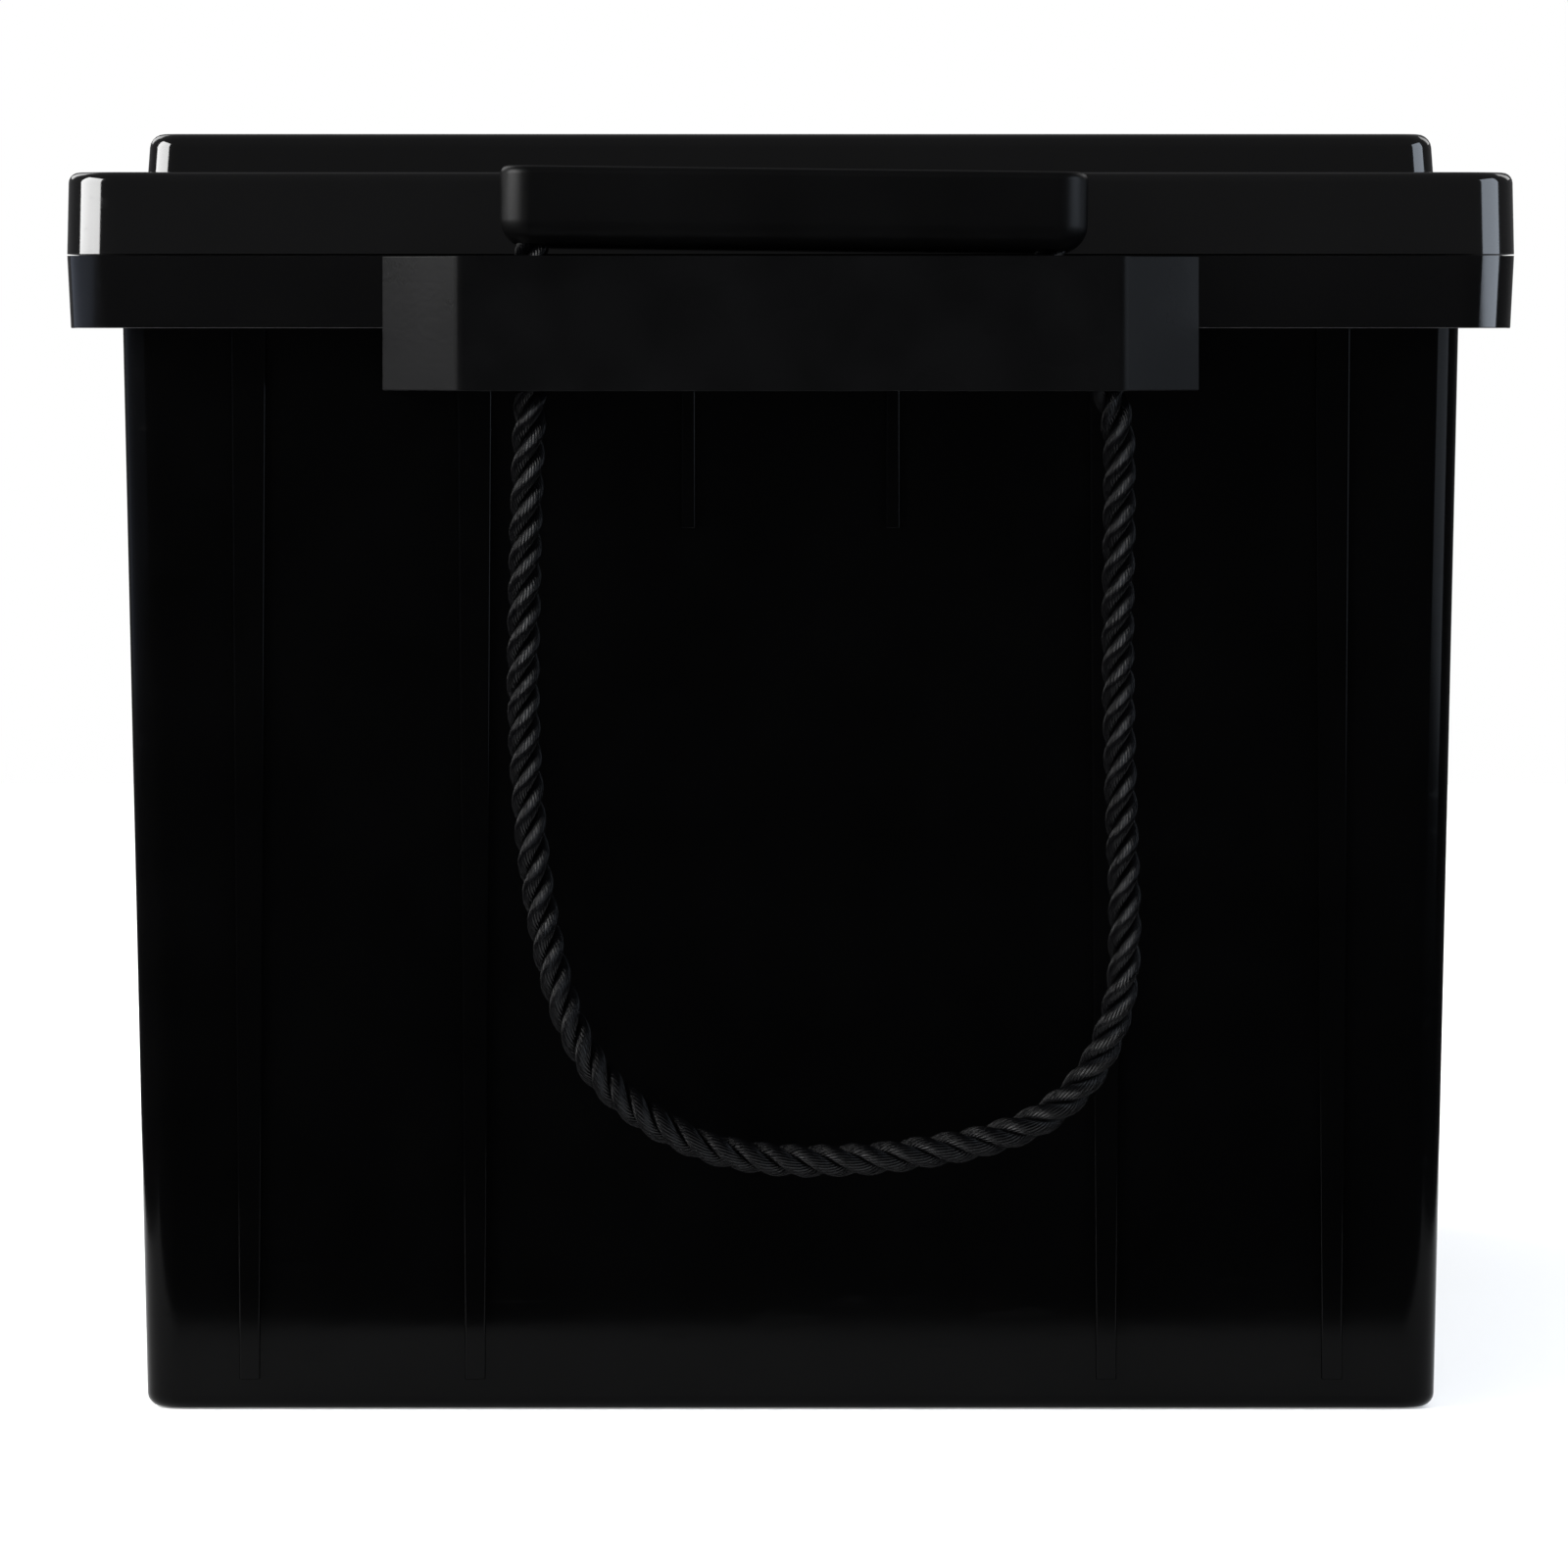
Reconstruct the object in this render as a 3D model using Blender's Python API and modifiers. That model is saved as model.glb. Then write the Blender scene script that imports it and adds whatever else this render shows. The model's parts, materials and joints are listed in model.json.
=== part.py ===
"""Sealed deep-cycle lead-acid battery, group 8D, with a rope handle at each end.

X is the battery's width, Y its length and Z is up.  The origin is the middle of the flat bottom.
The handle described by the numbers below is the one at the -Y end; the +Y one is the same, turned round.
"""
import math

import bmesh
import bpy
from mathutils import Matrix, Vector

# ---- driving dimensions, in metres -------------------------------------------------------------
WIDTH = 0.283              # over the rims
LENGTH = 0.527             # over the two rope lugs
HEIGHT = 0.250             # to the top of the raised deck
GAP = 0.0003               # kept between pieces that touch
DEEP = 0.020               # how far a cutter runs past what it cuts
JOIN = 0.0030              # how far a joined piece runs into its neighbour
SKIN = 0.0010              # how far hidden tubs stay inside the deck's outer faces
MERGE = 1e-5               # points nearer than this are one point

# container
LUG_PROUD = 0.0144         # lug face in front of the rim
RIM_HALF_X = WIDTH / 2
RIM_HALF_Y = LENGTH / 2 - LUG_PROUD
RIM_BOTTOM_Z = 0.2119
SEAM_Z = 0.2262            # bonded joint between container and lid
RIM_TAPER = 0.0007         # rim sides lean in by this much below the seam
RIM_CORNER = 0.011
WALL_SETBACK = 0.0105      # wall top behind the rim face
WALL_DRAFT = 0.0046        # wall bottom behind the wall top
WALL_CORNER = 0.007
BOTTOM_EDGE = 0.0027
WALL_THICK = 0.0050
FLOOR_THICK = 0.0045
PARTITION_THICK = 0.0030
PARTITION_Y = 0.0768       # the two crosswise partitions

# wall ribs: distance from the middle of the wall, and the widths at their two ends
END_RIBS = (0.0618, 0.1060)
SIDE_RIBS = (0.0380, 0.1140, 0.1900)
RIB_TOP_WIDTH = 0.0069
RIB_BOTTOM_WIDTH = 0.0040
RIB_PROUD = 0.0012
RIB_FOOT_Z = 0.006
SHORT_RIB_X = 0.0200
SHORT_RIB_WIDTH = 0.0027
SHORT_RIB_DROP = 0.027

# rope lug
LUG_BASE_X = 0.0794        # half length where it leaves the rim
LUG_FACE_X = 0.0645        # half length of its flat face
LUG_BOTTOM_Z = 0.1997
LUG_TOP_DROP = 0.0001      # lug's top below the container's
SLOT_INNER_X = 0.0462
SLOT_OUTER_X = 0.0690
SLOT_WIDE = 0.0088
EDGE_BEVEL = 0.0008        # the rim's lower edge

# lid
RIM_TOP_Z = 0.2423
LID_TAPER = 0.0003         # rim sides lean in by this much above the seam
RIM_TOP_EDGE = 0.0022
DECK_INSET = 0.0149
DECK_DRAFT = 0.0008
DECK_CORNER = 0.0055
DECK_EDGE = 0.0026
DECK_THICK = 0.0043
POCKET_WALL = 0.0040

# terminal wells at the +Y corners of the deck
TERMINAL_X = 0.0975
TERMINAL_Y = 0.2035
WELL_SIZE = 0.0440
WELL_WALL = 0.0040
WELL_CORNER = 0.0040
WELL_FLOOR_Z = 0.2310
CABLE_NOTCH = 0.0200
POST_RADIUS = 0.0100
PAD_RADIUS = 0.0135
PAD_BOTTOM_Z = 0.2336
PAD_TOP_Z = 0.2395         # flat ring that the cable lug lies on
SEAT_DEPTH = 0.0006        # the washer's seat inside that ring
SEAL_RADIUS = 0.0010
BOLT_RADIUS = 0.0040
BOLT_LENGTH = 0.0120
HEX_RADIUS = 0.0075
HEX_HEIGHT = 0.0053
HEX_SIDES = 6
WASHER_RADIUS = 0.0080
WASHER_THICK = 0.0016
MARK_SIZE = 0.0140
MARK_STROKE = 0.0034
MARK_DEPTH = 0.0006
MARK_STEP = 0.00001        # the plus sign's second bar is this much deeper
MARK_Y = 0.1600

# cells: side of the middle partition and row, in the order the current runs, + terminal first
CELLS = ((1, 1), (1, 0), (1, -1), (-1, -1), (-1, 0), (-1, 1))
CELL_X = 0.0615
CELL_Y = 0.1540

# plates stand on the floor and are joined by lead straps; a folded glass mat winds between them
POSITIVE_PLATES = 7
PLATE_PITCH = 0.0078       # from a positive plate to the next negative one
PLATE_THICK = 0.0042
PLATE_HALF_Y = 0.0715
PLATE_TOP_Z = 0.1820
MAT_THICK = 0.0028
MAT_TOP_Z = 0.1850
STRAP_BOTTOM_Z = 0.1920
STRAP_TOP_Z = 0.2000
STRAP_NEAR = 0.0460        # from the middle of the cell
STRAP_FAR = 0.0745
STRAP_OVERHANG = 0.0032
TERMINAL_STRAP_NEAR = 0.0360
TAB_Y = 0.0560
TAB_HALF_Y = 0.0080
UPRIGHT_TOP_Z = 0.2185
UPRIGHT_THICK = 0.0045
UPRIGHT_HALF = 0.0130
MIDDLE_UPRIGHT_X = 0.0030
WELD_Z = 0.2095
WELD_RADIUS = 0.0060
MIDDLE_WELD_Y = -CELL_Y - (STRAP_NEAR + STRAP_FAR) / 2

# vents: one channel over each row of three cells
CHANNEL_HALF_X = 0.0170
CHANNEL_START_Y = -0.1820
CHANNEL_END_Y = 0.1755
CHANNEL_FLOOR_Z = 0.2365
CHANNEL_WALL = 0.0035
NECK_RADIUS = 0.0080
NECK_BORE = 0.0050
NECK_TOP_Z = 0.2425
VALVE_RADIUS = 0.0098
VALVE_TOP_Z = 0.2452
VALVE_EDGE = 0.0015
VENT_COVER_THICK = 0.0025
VENT_SLOT_X = 0.0060
VENT_SLOT_Y = 0.0012
VENT_SLOT_PITCH = 0.0060
PRY_HALF_X = 0.0050        # the notch at each end of a cover, to lift it by
PRY_LENGTH = 0.0022
PRY_DEPTH = 0.0010
FILTER_RADIUS = 0.0070
FILTER_THICK = 0.0014
FILTER_Y = -0.0780

# handle: a moulded grip and a three-strand rope whose two ends are fixed in it
GRIP_LENGTH = 0.1140
GRIP_DEPTH = 0.0134
GRIP_HEIGHT = 0.0156
GRIP_END_RADIUS = 0.0060
GRIP_LOW_EDGE = 0.0050     # rounded off all round below, for the fingers
GRIP_HIGH_EDGE = 0.0016
GRIP_X = 0.0006
GRIP_TILT = math.radians(0.66)
HANDLE_Y = -RIM_HALF_Y - LUG_PROUD / 2
ROPE_DIAMETER = 0.0065
ROPE_END_X = 0.0503
ROPE_SOCKET_RADIUS = ROPE_DIAMETER / 2 + 0.0004
ROPE_SOCKET_DEPTH = 0.0100
ROPE_POINT_SPACING = 2.1 * ROPE_DIAMETER
# the rope's middle line as X and Z, from the left end in the grip, round the loop, to the right end
ROPE_ROUTE = (
    (-0.0503, 0.2359),
    (-0.0503, 0.2279),
    (-0.0504, 0.2129),
    (-0.0506, 0.1969),
    (-0.0512, 0.1789),
    (-0.0517, 0.1609),
    (-0.0519, 0.1429),
    (-0.0512, 0.1249),
    (-0.0499, 0.1099),
    (-0.0481, 0.0974),
    (-0.0456, 0.0859),
    (-0.0420, 0.0754),
    (-0.0365, 0.0664),
    (-0.0290, 0.0597),
    (-0.0216, 0.0554),
    (-0.0130, 0.0523),
    (-0.0011, 0.0506),
    (0.0150, 0.0509),
    (0.0280, 0.0525),
    (0.0380, 0.0545),
    (0.0478, 0.0582),
    (0.0555, 0.0643),
    (0.0610, 0.0729),
    (0.0642, 0.0839),
    (0.0648, 0.0979),
    (0.0641, 0.1159),
    (0.0636, 0.1359),
    (0.0634, 0.1569),
    (0.0637, 0.1769),
    (0.0634, 0.1929),
    (0.0606, 0.2019),
    (0.0556, 0.2104),
    (0.0514, 0.2184),
    (0.0503, 0.2264),
    (0.0503, 0.2359),
)

CORNER_STEPS = 4
EDGE_STEPS = 3
CURVE_STEPS = 12
ROUND_STEPS = 24
SMALL_ROUND_STEPS = 16
SEAL_STEPS = 8
SMOOTH_ANGLE = math.radians(35)
ROPE_RESOLUTION = 2

# name: colour, roughness, metallic
FINISHES = {
    "case_plastic": ((0.006, 0.006, 0.007, 1), 0.16, 0.0),
    "lid_plastic": ((0.010, 0.010, 0.011, 1), 0.18, 0.0),
    "grip_plastic": ((0.014, 0.014, 0.015, 1), 0.42, 0.0),
    "rope_fibre": ((0.009, 0.009, 0.010, 1), 0.70, 0.0),
    "lead": ((0.21, 0.22, 0.24, 1), 0.55, 1.0),
    "positive_paste": ((0.10, 0.045, 0.025, 1), 0.85, 0.0),
    "negative_paste": ((0.20, 0.21, 0.22, 1), 0.75, 0.0),
    "glass_mat": ((0.80, 0.80, 0.77, 1), 0.95, 0.0),
    "bolt_steel": ((0.55, 0.56, 0.57, 1), 0.30, 1.0),
    "brass": ((0.72, 0.50, 0.22, 1), 0.32, 1.0),
    "seal_rubber": ((0.012, 0.012, 0.012, 1), 0.65, 0.0),
    "filter_felt": ((0.62, 0.62, 0.60, 1), 0.90, 0.0),
}


# ---- scene helpers -------------------------------------------------------------------------------
def clear_scene():
    for obj in list(bpy.data.objects):
        bpy.data.objects.remove(obj, do_unlink=True)


def make_collection(name):
    collection = bpy.data.collections.new(name)
    bpy.context.scene.collection.children.link(collection)
    return collection


def make_material(name):
    colour, roughness, metallic = FINISHES[name]
    material = bpy.data.materials.new(name)
    material.use_nodes = True
    shader = material.node_tree.nodes["Principled BSDF"]
    shader.inputs["Base Color"].default_value = colour
    shader.inputs["Roughness"].default_value = roughness
    shader.inputs["Metallic"].default_value = metallic
    return material


clear_scene()
PARTS = make_collection("battery_8d")
CUTTERS = make_collection("cutters")
MATERIALS = {name: make_material(name) for name in FINISHES}


def add_object(name, mesh, finish=None, location=(0, 0, 0), rotation=(0, 0, 0)):
    """Link a mesh as a part when it has a finish, and as a wire cutter when it has none."""
    obj = bpy.data.objects.new(name, mesh)
    obj.location = location
    obj.rotation_euler = rotation
    if finish:
        PARTS.objects.link(obj)
        mesh.materials.append(MATERIALS[finish])
    else:
        CUTTERS.objects.link(obj)
        obj.display_type = "WIRE"
        obj.hide_render = True
    return obj


def boolean(obj, tool, operation):
    modifier = obj.modifiers.new(f"{operation.lower()}_{tool.name}"[:60], "BOOLEAN")
    modifier.operation = operation
    modifier.object = tool
    modifier.solver = "EXACT"


def join_with(obj, tool):
    boolean(obj, tool, "UNION")


def cut_with(obj, tool):
    boolean(obj, tool, "DIFFERENCE")


# ---- shape helpers -------------------------------------------------------------------------------
def mesh_from(bm, name):
    mesh = bpy.data.meshes.new(name)
    bm.to_mesh(mesh)
    bm.free()
    return mesh


def round_mesh(bm, name):
    """A mesh shaded smooth, apart from its sharp edges."""
    mesh = mesh_from(bm, name)
    mesh.shade_smooth()
    mesh.set_sharp_from_angle(angle=SMOOTH_ANGLE)
    return mesh


def face_outward(bm):
    bm.normal_update()
    bmesh.ops.recalc_face_normals(bm, faces=bm.faces)


def bevel_edges(bm, edges, radius, steps):
    bmesh.ops.bevel(
        bm, geom=edges, offset=radius, offset_type="OFFSET", segments=steps, profile=0.5, affect="EDGES"
    )


def is_upright(edge):
    return abs(edge.verts[0].co.z - edge.verts[1].co.z) > 1e-5


def level_edges(bm, z):
    return [e for e in bm.edges if all(abs(v.co.z - z) < 1e-6 for v in e.verts)]


def box_mesh(name, low, high):
    bm = bmesh.new()
    bmesh.ops.create_cube(bm, size=1)
    size = Vector(high) - Vector(low)
    middle = (Vector(high) + Vector(low)) / 2
    bmesh.ops.transform(bm, matrix=Matrix.Translation(middle) @ Matrix.Diagonal((*size, 1)), verts=bm.verts)
    return mesh_from(bm, name)


def box_tool(name, low, high):
    """A cutter or joining box between two corners given in any order."""
    lower = [min(a, b) for a, b in zip(low, high)]
    upper = [max(a, b) for a, b in zip(low, high)]
    return add_object(name, box_mesh(name, lower, upper))


def tapered_block(name, z_low, half_low, z_high, half_high, corner, low_edge=0.0, high_edge=0.0):
    """A four-sided block centred on Z, with its own half sizes at each end and rounded corners."""
    bm = bmesh.new()
    bmesh.ops.create_cube(bm, size=2)
    for vert in bm.verts:
        half = half_high if vert.co.z > 0 else half_low
        height = z_high if vert.co.z > 0 else z_low
        vert.co = Vector((vert.co.x * half[0], vert.co.y * half[1], height))
    if corner:
        bevel_edges(bm, [e for e in bm.edges if is_upright(e)], corner, CORNER_STEPS)
    if low_edge:
        bevel_edges(bm, level_edges(bm, z_low), low_edge, EDGE_STEPS)
    if high_edge:
        bevel_edges(bm, level_edges(bm, z_high), high_edge, EDGE_STEPS)
    return round_mesh(bm, name)


def disc_mesh(name, radius, z_low, z_high, steps=ROUND_STEPS):
    bm = bmesh.new()
    bmesh.ops.create_cone(
        bm, cap_ends=True, segments=steps, radius1=radius, radius2=radius, depth=z_high - z_low
    )
    bmesh.ops.translate(bm, vec=(0, 0, (z_low + z_high) / 2), verts=bm.verts)
    return round_mesh(bm, name)


def outline_mesh(name, points, thickness):
    """A closed flat outline in local X and Y, thickened evenly about local Z."""
    curve = bpy.data.curves.new(name, "CURVE")
    curve.dimensions = "2D"
    curve.fill_mode = "BOTH"
    curve.extrude = thickness / 2
    spline = curve.splines.new("POLY")
    spline.points.add(len(points) - 1)
    for target, (x, y) in zip(spline.points, points):
        target.co = (x, y, 0, 1)
    spline.use_cyclic_u = True
    return mesh_from_curve(name, curve)


def mesh_from_curve(name, curve):
    holder = bpy.data.objects.new(f"{name}_curve", curve)
    CUTTERS.objects.link(holder)
    evaluated = holder.evaluated_get(bpy.context.evaluated_depsgraph_get())
    bm = bmesh.new()
    bm.from_mesh(bpy.data.meshes.new_from_object(evaluated))
    bmesh.ops.remove_doubles(bm, verts=bm.verts, dist=MERGE)
    face_outward(bm)
    bpy.data.objects.remove(holder, do_unlink=True)
    return mesh_from(bm, name)


# ---- container -------------------------------------------------------------------------------------
def wall_half(axis, z):
    """Half width (axis 0) or half length (axis 1) of the drafted wall at a height."""
    top = (RIM_HALF_X, RIM_HALF_Y)[axis] - WALL_SETBACK
    return top - WALL_DRAFT * (RIM_BOTTOM_Z - z) / RIM_BOTTOM_Z


def wall_rib(name, axis, end, offset, z_low, z_high, width_low, width_high):
    """A rib that stands on the wall facing the given axis and follows its draft."""
    bm = bmesh.new()
    bmesh.ops.create_cube(bm, size=2)
    for vert in bm.verts:
        upper = vert.co.z > 0
        z = z_high if upper else z_low
        across = offset + vert.co.x * (width_high if upper else width_low) / 2
        outward = wall_half(axis, z) + (RIB_PROUD if vert.co.y > 0 else -WALL_THICK / 2)
        vert.co = Vector((across, outward * end, z) if axis else (outward * end, across, z))
    face_outward(bm)
    return add_object(name, mesh_from(bm, name))


def add_wall_ribs(container):
    """Tall ribs from the foot of each wall to the rim, and a short pair under each lug."""
    top = RIM_BOTTOM_Z + JOIN / 2
    for end in (-1, 1):
        for side in (-1, 1):
            for number, offset in enumerate(END_RIBS):
                rib = wall_rib(f"end_rib_{end}_{side}_{number}", 1, end, side * offset, RIB_FOOT_Z, top,
                               RIB_BOTTOM_WIDTH, RIB_TOP_WIDTH)
                join_with(container, rib)
            for number, offset in enumerate(SIDE_RIBS):
                rib = wall_rib(f"side_rib_{end}_{side}_{number}", 0, end, side * offset, RIB_FOOT_Z, top,
                               RIB_BOTTOM_WIDTH, RIB_TOP_WIDTH)
                join_with(container, rib)
            short = wall_rib(f"short_rib_{end}_{side}", 1, end, side * SHORT_RIB_X,
                             LUG_BOTTOM_Z - SHORT_RIB_DROP, LUG_BOTTOM_Z + JOIN,
                             SHORT_RIB_WIDTH, SHORT_RIB_WIDTH)
            join_with(container, short)


def lug_tool(name, end):
    """The trapezoid lug, from its flat face back into the wall."""
    root_y = wall_half(1, LUG_BOTTOM_Z) - WALL_THICK / 3
    face_y = RIM_HALF_Y + LUG_PROUD
    outline = (
        (-LUG_BASE_X, -root_y),
        (-LUG_BASE_X, -RIM_HALF_Y),
        (-LUG_FACE_X, -face_y),
        (LUG_FACE_X, -face_y),
        (LUG_BASE_X, -RIM_HALF_Y),
        (LUG_BASE_X, -root_y),
    )
    top = SEAM_Z - GAP / 2 - LUG_TOP_DROP
    mesh = outline_mesh(name, outline, top - LUG_BOTTOM_Z)
    turn = 0.0 if end < 0 else math.pi
    return add_object(name, mesh, location=(0, 0, (top + LUG_BOTTOM_Z) / 2), rotation=(0, 0, turn))


def cell_rows(outer):
    """Y range of each row of cells, given where the outer ones end."""
    inner = PARTITION_Y + PARTITION_THICK / 2
    middle = PARTITION_Y - PARTITION_THICK / 2
    return {-1: (-outer, -inner), 0: (-middle, middle), 1: (inner, outer)}


def cell_tool(number, side, row):
    """The hollow of one cell, with the wall's draft on its outer faces."""
    bm = bmesh.new()
    bmesh.ops.create_cube(bm, size=2)
    for vert in bm.verts:
        z = SEAM_Z + DEEP if vert.co.z > 0 else FLOOR_THICK
        y_range = cell_rows(wall_half(1, min(z, SEAM_Z)) - WALL_THICK)[row]
        x_range = (PARTITION_THICK / 2, wall_half(0, min(z, SEAM_Z)) - WALL_THICK)
        x = side * x_range[int(vert.co.x > 0)]
        y = y_range[int(vert.co.y > 0)]
        vert.co = Vector((x, y, z))
    face_outward(bm)
    return add_object(f"cell_hollow_{number}", mesh_from(bm, f"cell_hollow_{number}"))


def weld_places():
    """Place and direction of the five welds that join each cell to the next."""
    return (
        ((CELL_X, PARTITION_Y, WELD_Z), "Y"),
        ((CELL_X, -PARTITION_Y, WELD_Z), "Y"),
        ((0.0, MIDDLE_WELD_Y, WELD_Z), "X"),
        ((-CELL_X, -PARTITION_Y, WELD_Z), "Y"),
        ((-CELL_X, PARTITION_Y, WELD_Z), "Y"),
    )


def turn_for(direction):
    return (math.pi / 2, 0, 0) if direction == "Y" else (0, math.pi / 2, 0)


def make_container():
    top = RIM_BOTTOM_Z + JOIN
    half_low = (wall_half(0, 0), wall_half(1, 0))
    half_high = (wall_half(0, top), wall_half(1, top))
    mesh = tapered_block("container", 0, half_low, top, half_high, WALL_CORNER, BOTTOM_EDGE)
    container = add_object("container", mesh, "case_plastic")
    rim_low = (RIM_HALF_X - RIM_TAPER, RIM_HALF_Y - RIM_TAPER)
    rim = tapered_block("container_rim", RIM_BOTTOM_Z, rim_low, SEAM_Z - GAP / 2, (RIM_HALF_X, RIM_HALF_Y),
                        RIM_CORNER, EDGE_BEVEL)
    join_with(container, add_object("container_rim", rim))
    for end in (-1, 1):
        join_with(container, lug_tool(f"lug_{end}", end))
    add_wall_ribs(container)
    for number, (side, row) in enumerate(CELLS, 1):
        cut_with(container, cell_tool(number, side, row))
    for end in (-1, 1):
        for side in (-1, 1):
            slot = box_tool(
                f"rope_slot_{end}_{side}",
                (side * SLOT_INNER_X, -end * HANDLE_Y - SLOT_WIDE / 2, LUG_BOTTOM_Z - DEEP),
                (side * SLOT_OUTER_X, -end * HANDLE_Y + SLOT_WIDE / 2, SEAM_Z + DEEP),
            )
            cut_with(container, slot)
    for number, (place, direction) in enumerate(weld_places(), 1):
        name = f"weld_hole_{number}"
        mesh = disc_mesh(name, WELD_RADIUS + 2 * GAP, -PARTITION_THICK, PARTITION_THICK,
                         SMALL_ROUND_STEPS)
        cut_with(container, add_object(name, mesh, location=place, rotation=turn_for(direction)))


# ---- lid -------------------------------------------------------------------------------------------
def add_lid_pockets(lid):
    outer_y = RIM_HALF_Y - DECK_INSET - POCKET_WALL
    outer_x = RIM_HALF_X - DECK_INSET - POCKET_WALL
    for number, (side, row) in enumerate(CELLS, 1):
        y_low, y_high = cell_rows(outer_y)[row]
        pocket = box_tool(
            f"lid_pocket_{number}",
            (side * PARTITION_THICK / 2, y_low, SEAM_Z - DEEP),
            (side * outer_x, y_high, HEIGHT - DECK_THICK),
        )
        cut_with(lid, pocket)


def add_terminal_well(lid, side):
    """A tub sunk in the corner of the deck, with a notch for the cable and a hole for the post."""
    half = WELL_SIZE / 2
    middle = Vector((side * TERMINAL_X, TERMINAL_Y, 0))
    tub_half = half + WELL_WALL
    tub = box_tool(
        f"well_tub_{side}",
        middle + Vector((-tub_half, -tub_half, WELL_FLOOR_Z - WELL_WALL)),
        middle + Vector((tub_half - SKIN / 2, tub_half - SKIN / 2, HEIGHT - SKIN)),
    )
    join_with(lid, tub)
    hollow = tapered_block(f"well_{side}", WELL_FLOOR_Z, (half, half), HEIGHT + DEEP, (half, half),
                           WELL_CORNER)
    cut_with(lid, add_object(f"well_{side}", hollow, location=middle))
    notch = box_tool(
        f"cable_notch_{side}",
        middle + Vector((-CABLE_NOTCH / 2, 0, RIM_TOP_Z + GAP)),
        middle + Vector((CABLE_NOTCH / 2, half + DEEP, HEIGHT + DEEP)),
    )
    cut_with(lid, notch)
    name = f"post_hole_{side}"
    hole = disc_mesh(name, POST_RADIUS + GAP, WELL_FLOOR_Z - DEEP / 2, WELL_FLOOR_Z + DEEP / 2)
    cut_with(lid, add_object(name, hole, location=middle))


def add_vent_channel(lid, side):
    """The sunk channel over three cells, with a neck for each valve and a step for the cover."""
    x_low, x_high = CELL_X - CHANNEL_HALF_X, CELL_X + CHANNEL_HALF_X
    wall = CHANNEL_WALL
    tub = box_tool(
        f"channel_tub_{side}",
        (side * (x_low - wall), CHANNEL_START_Y - wall, CHANNEL_FLOOR_Z - wall),
        (side * (x_high + wall), CHANNEL_END_Y + wall - SKIN / 2, HEIGHT - SKIN),
    )
    join_with(lid, tub)
    hollow = box_tool(
        f"channel_{side}",
        (side * x_low, CHANNEL_START_Y, CHANNEL_FLOOR_Z),
        (side * x_high, CHANNEL_END_Y, HEIGHT + DEEP),
    )
    cut_with(lid, hollow)
    for row in (-1, 0, 1):
        place = (side * CELL_X, row * CELL_Y, 0)
        neck = disc_mesh(f"neck_{side}_{row}", NECK_RADIUS, CHANNEL_FLOOR_Z - wall / 2, NECK_TOP_Z,
                         SMALL_ROUND_STEPS)
        join_with(lid, add_object(f"neck_{side}_{row}", neck, location=place))
        bore = disc_mesh(f"bore_{side}_{row}", NECK_BORE, CHANNEL_FLOOR_Z - DEEP, HEIGHT, SMALL_ROUND_STEPS)
        cut_with(lid, add_object(f"bore_{side}_{row}", bore, location=place))


def add_polarity_marks(lid):
    half, stroke = MARK_SIZE / 2, MARK_STROKE / 2
    for side in (1, -1):
        x = side * TERMINAL_X
        bars = [(half, stroke), (stroke, half)] if side > 0 else [(half, stroke)]
        for number, (half_x, half_y) in enumerate(bars):
            bar = box_tool(
                f"mark_{side}_{number}",
                (x - half_x, MARK_Y - half_y, HEIGHT - MARK_DEPTH - number * MARK_STEP),
                (x + half_x, MARK_Y + half_y, HEIGHT + DEEP),
            )
            cut_with(lid, bar)


def make_lid():
    seam = (RIM_HALF_X, RIM_HALF_Y)
    top = (RIM_HALF_X - LID_TAPER, RIM_HALF_Y - LID_TAPER)
    mesh = tapered_block("lid", SEAM_Z + GAP / 2, seam, RIM_TOP_Z, top, RIM_CORNER, 0.0, RIM_TOP_EDGE)
    lid = add_object("lid", mesh, "lid_plastic")
    deck_low = (RIM_HALF_X - DECK_INSET, RIM_HALF_Y - DECK_INSET)
    deck_high = (deck_low[0] - DECK_DRAFT, deck_low[1] - DECK_DRAFT)
    deck = tapered_block("deck", RIM_TOP_Z - JOIN, deck_low, HEIGHT, deck_high, DECK_CORNER, 0.0, DECK_EDGE)
    join_with(lid, add_object("deck", deck))
    add_lid_pockets(lid)
    for side in (1, -1):
        add_terminal_well(lid, side)
        add_vent_channel(lid, side)
    add_polarity_marks(lid)


# ---- cells -----------------------------------------------------------------------------------------
def plate_mesh(name, tab_side, bottom_z):
    """One plate with its tab; local X is along the battery and local Y is up."""
    tab_low = tab_side * TAB_Y - TAB_HALF_Y
    tab_high = tab_side * TAB_Y + TAB_HALF_Y
    tab_top = (STRAP_BOTTOM_Z + STRAP_TOP_Z) / 2
    outline = (
        (-PLATE_HALF_Y, bottom_z),
        (PLATE_HALF_Y, bottom_z),
        (PLATE_HALF_Y, PLATE_TOP_Z),
        (tab_high, PLATE_TOP_Z),
        (tab_high, tab_top),
        (tab_low, tab_top),
        (tab_low, PLATE_TOP_Z),
        (-PLATE_HALF_Y, PLATE_TOP_Z),
    )
    return outline_mesh(name, outline, PLATE_THICK)


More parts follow.
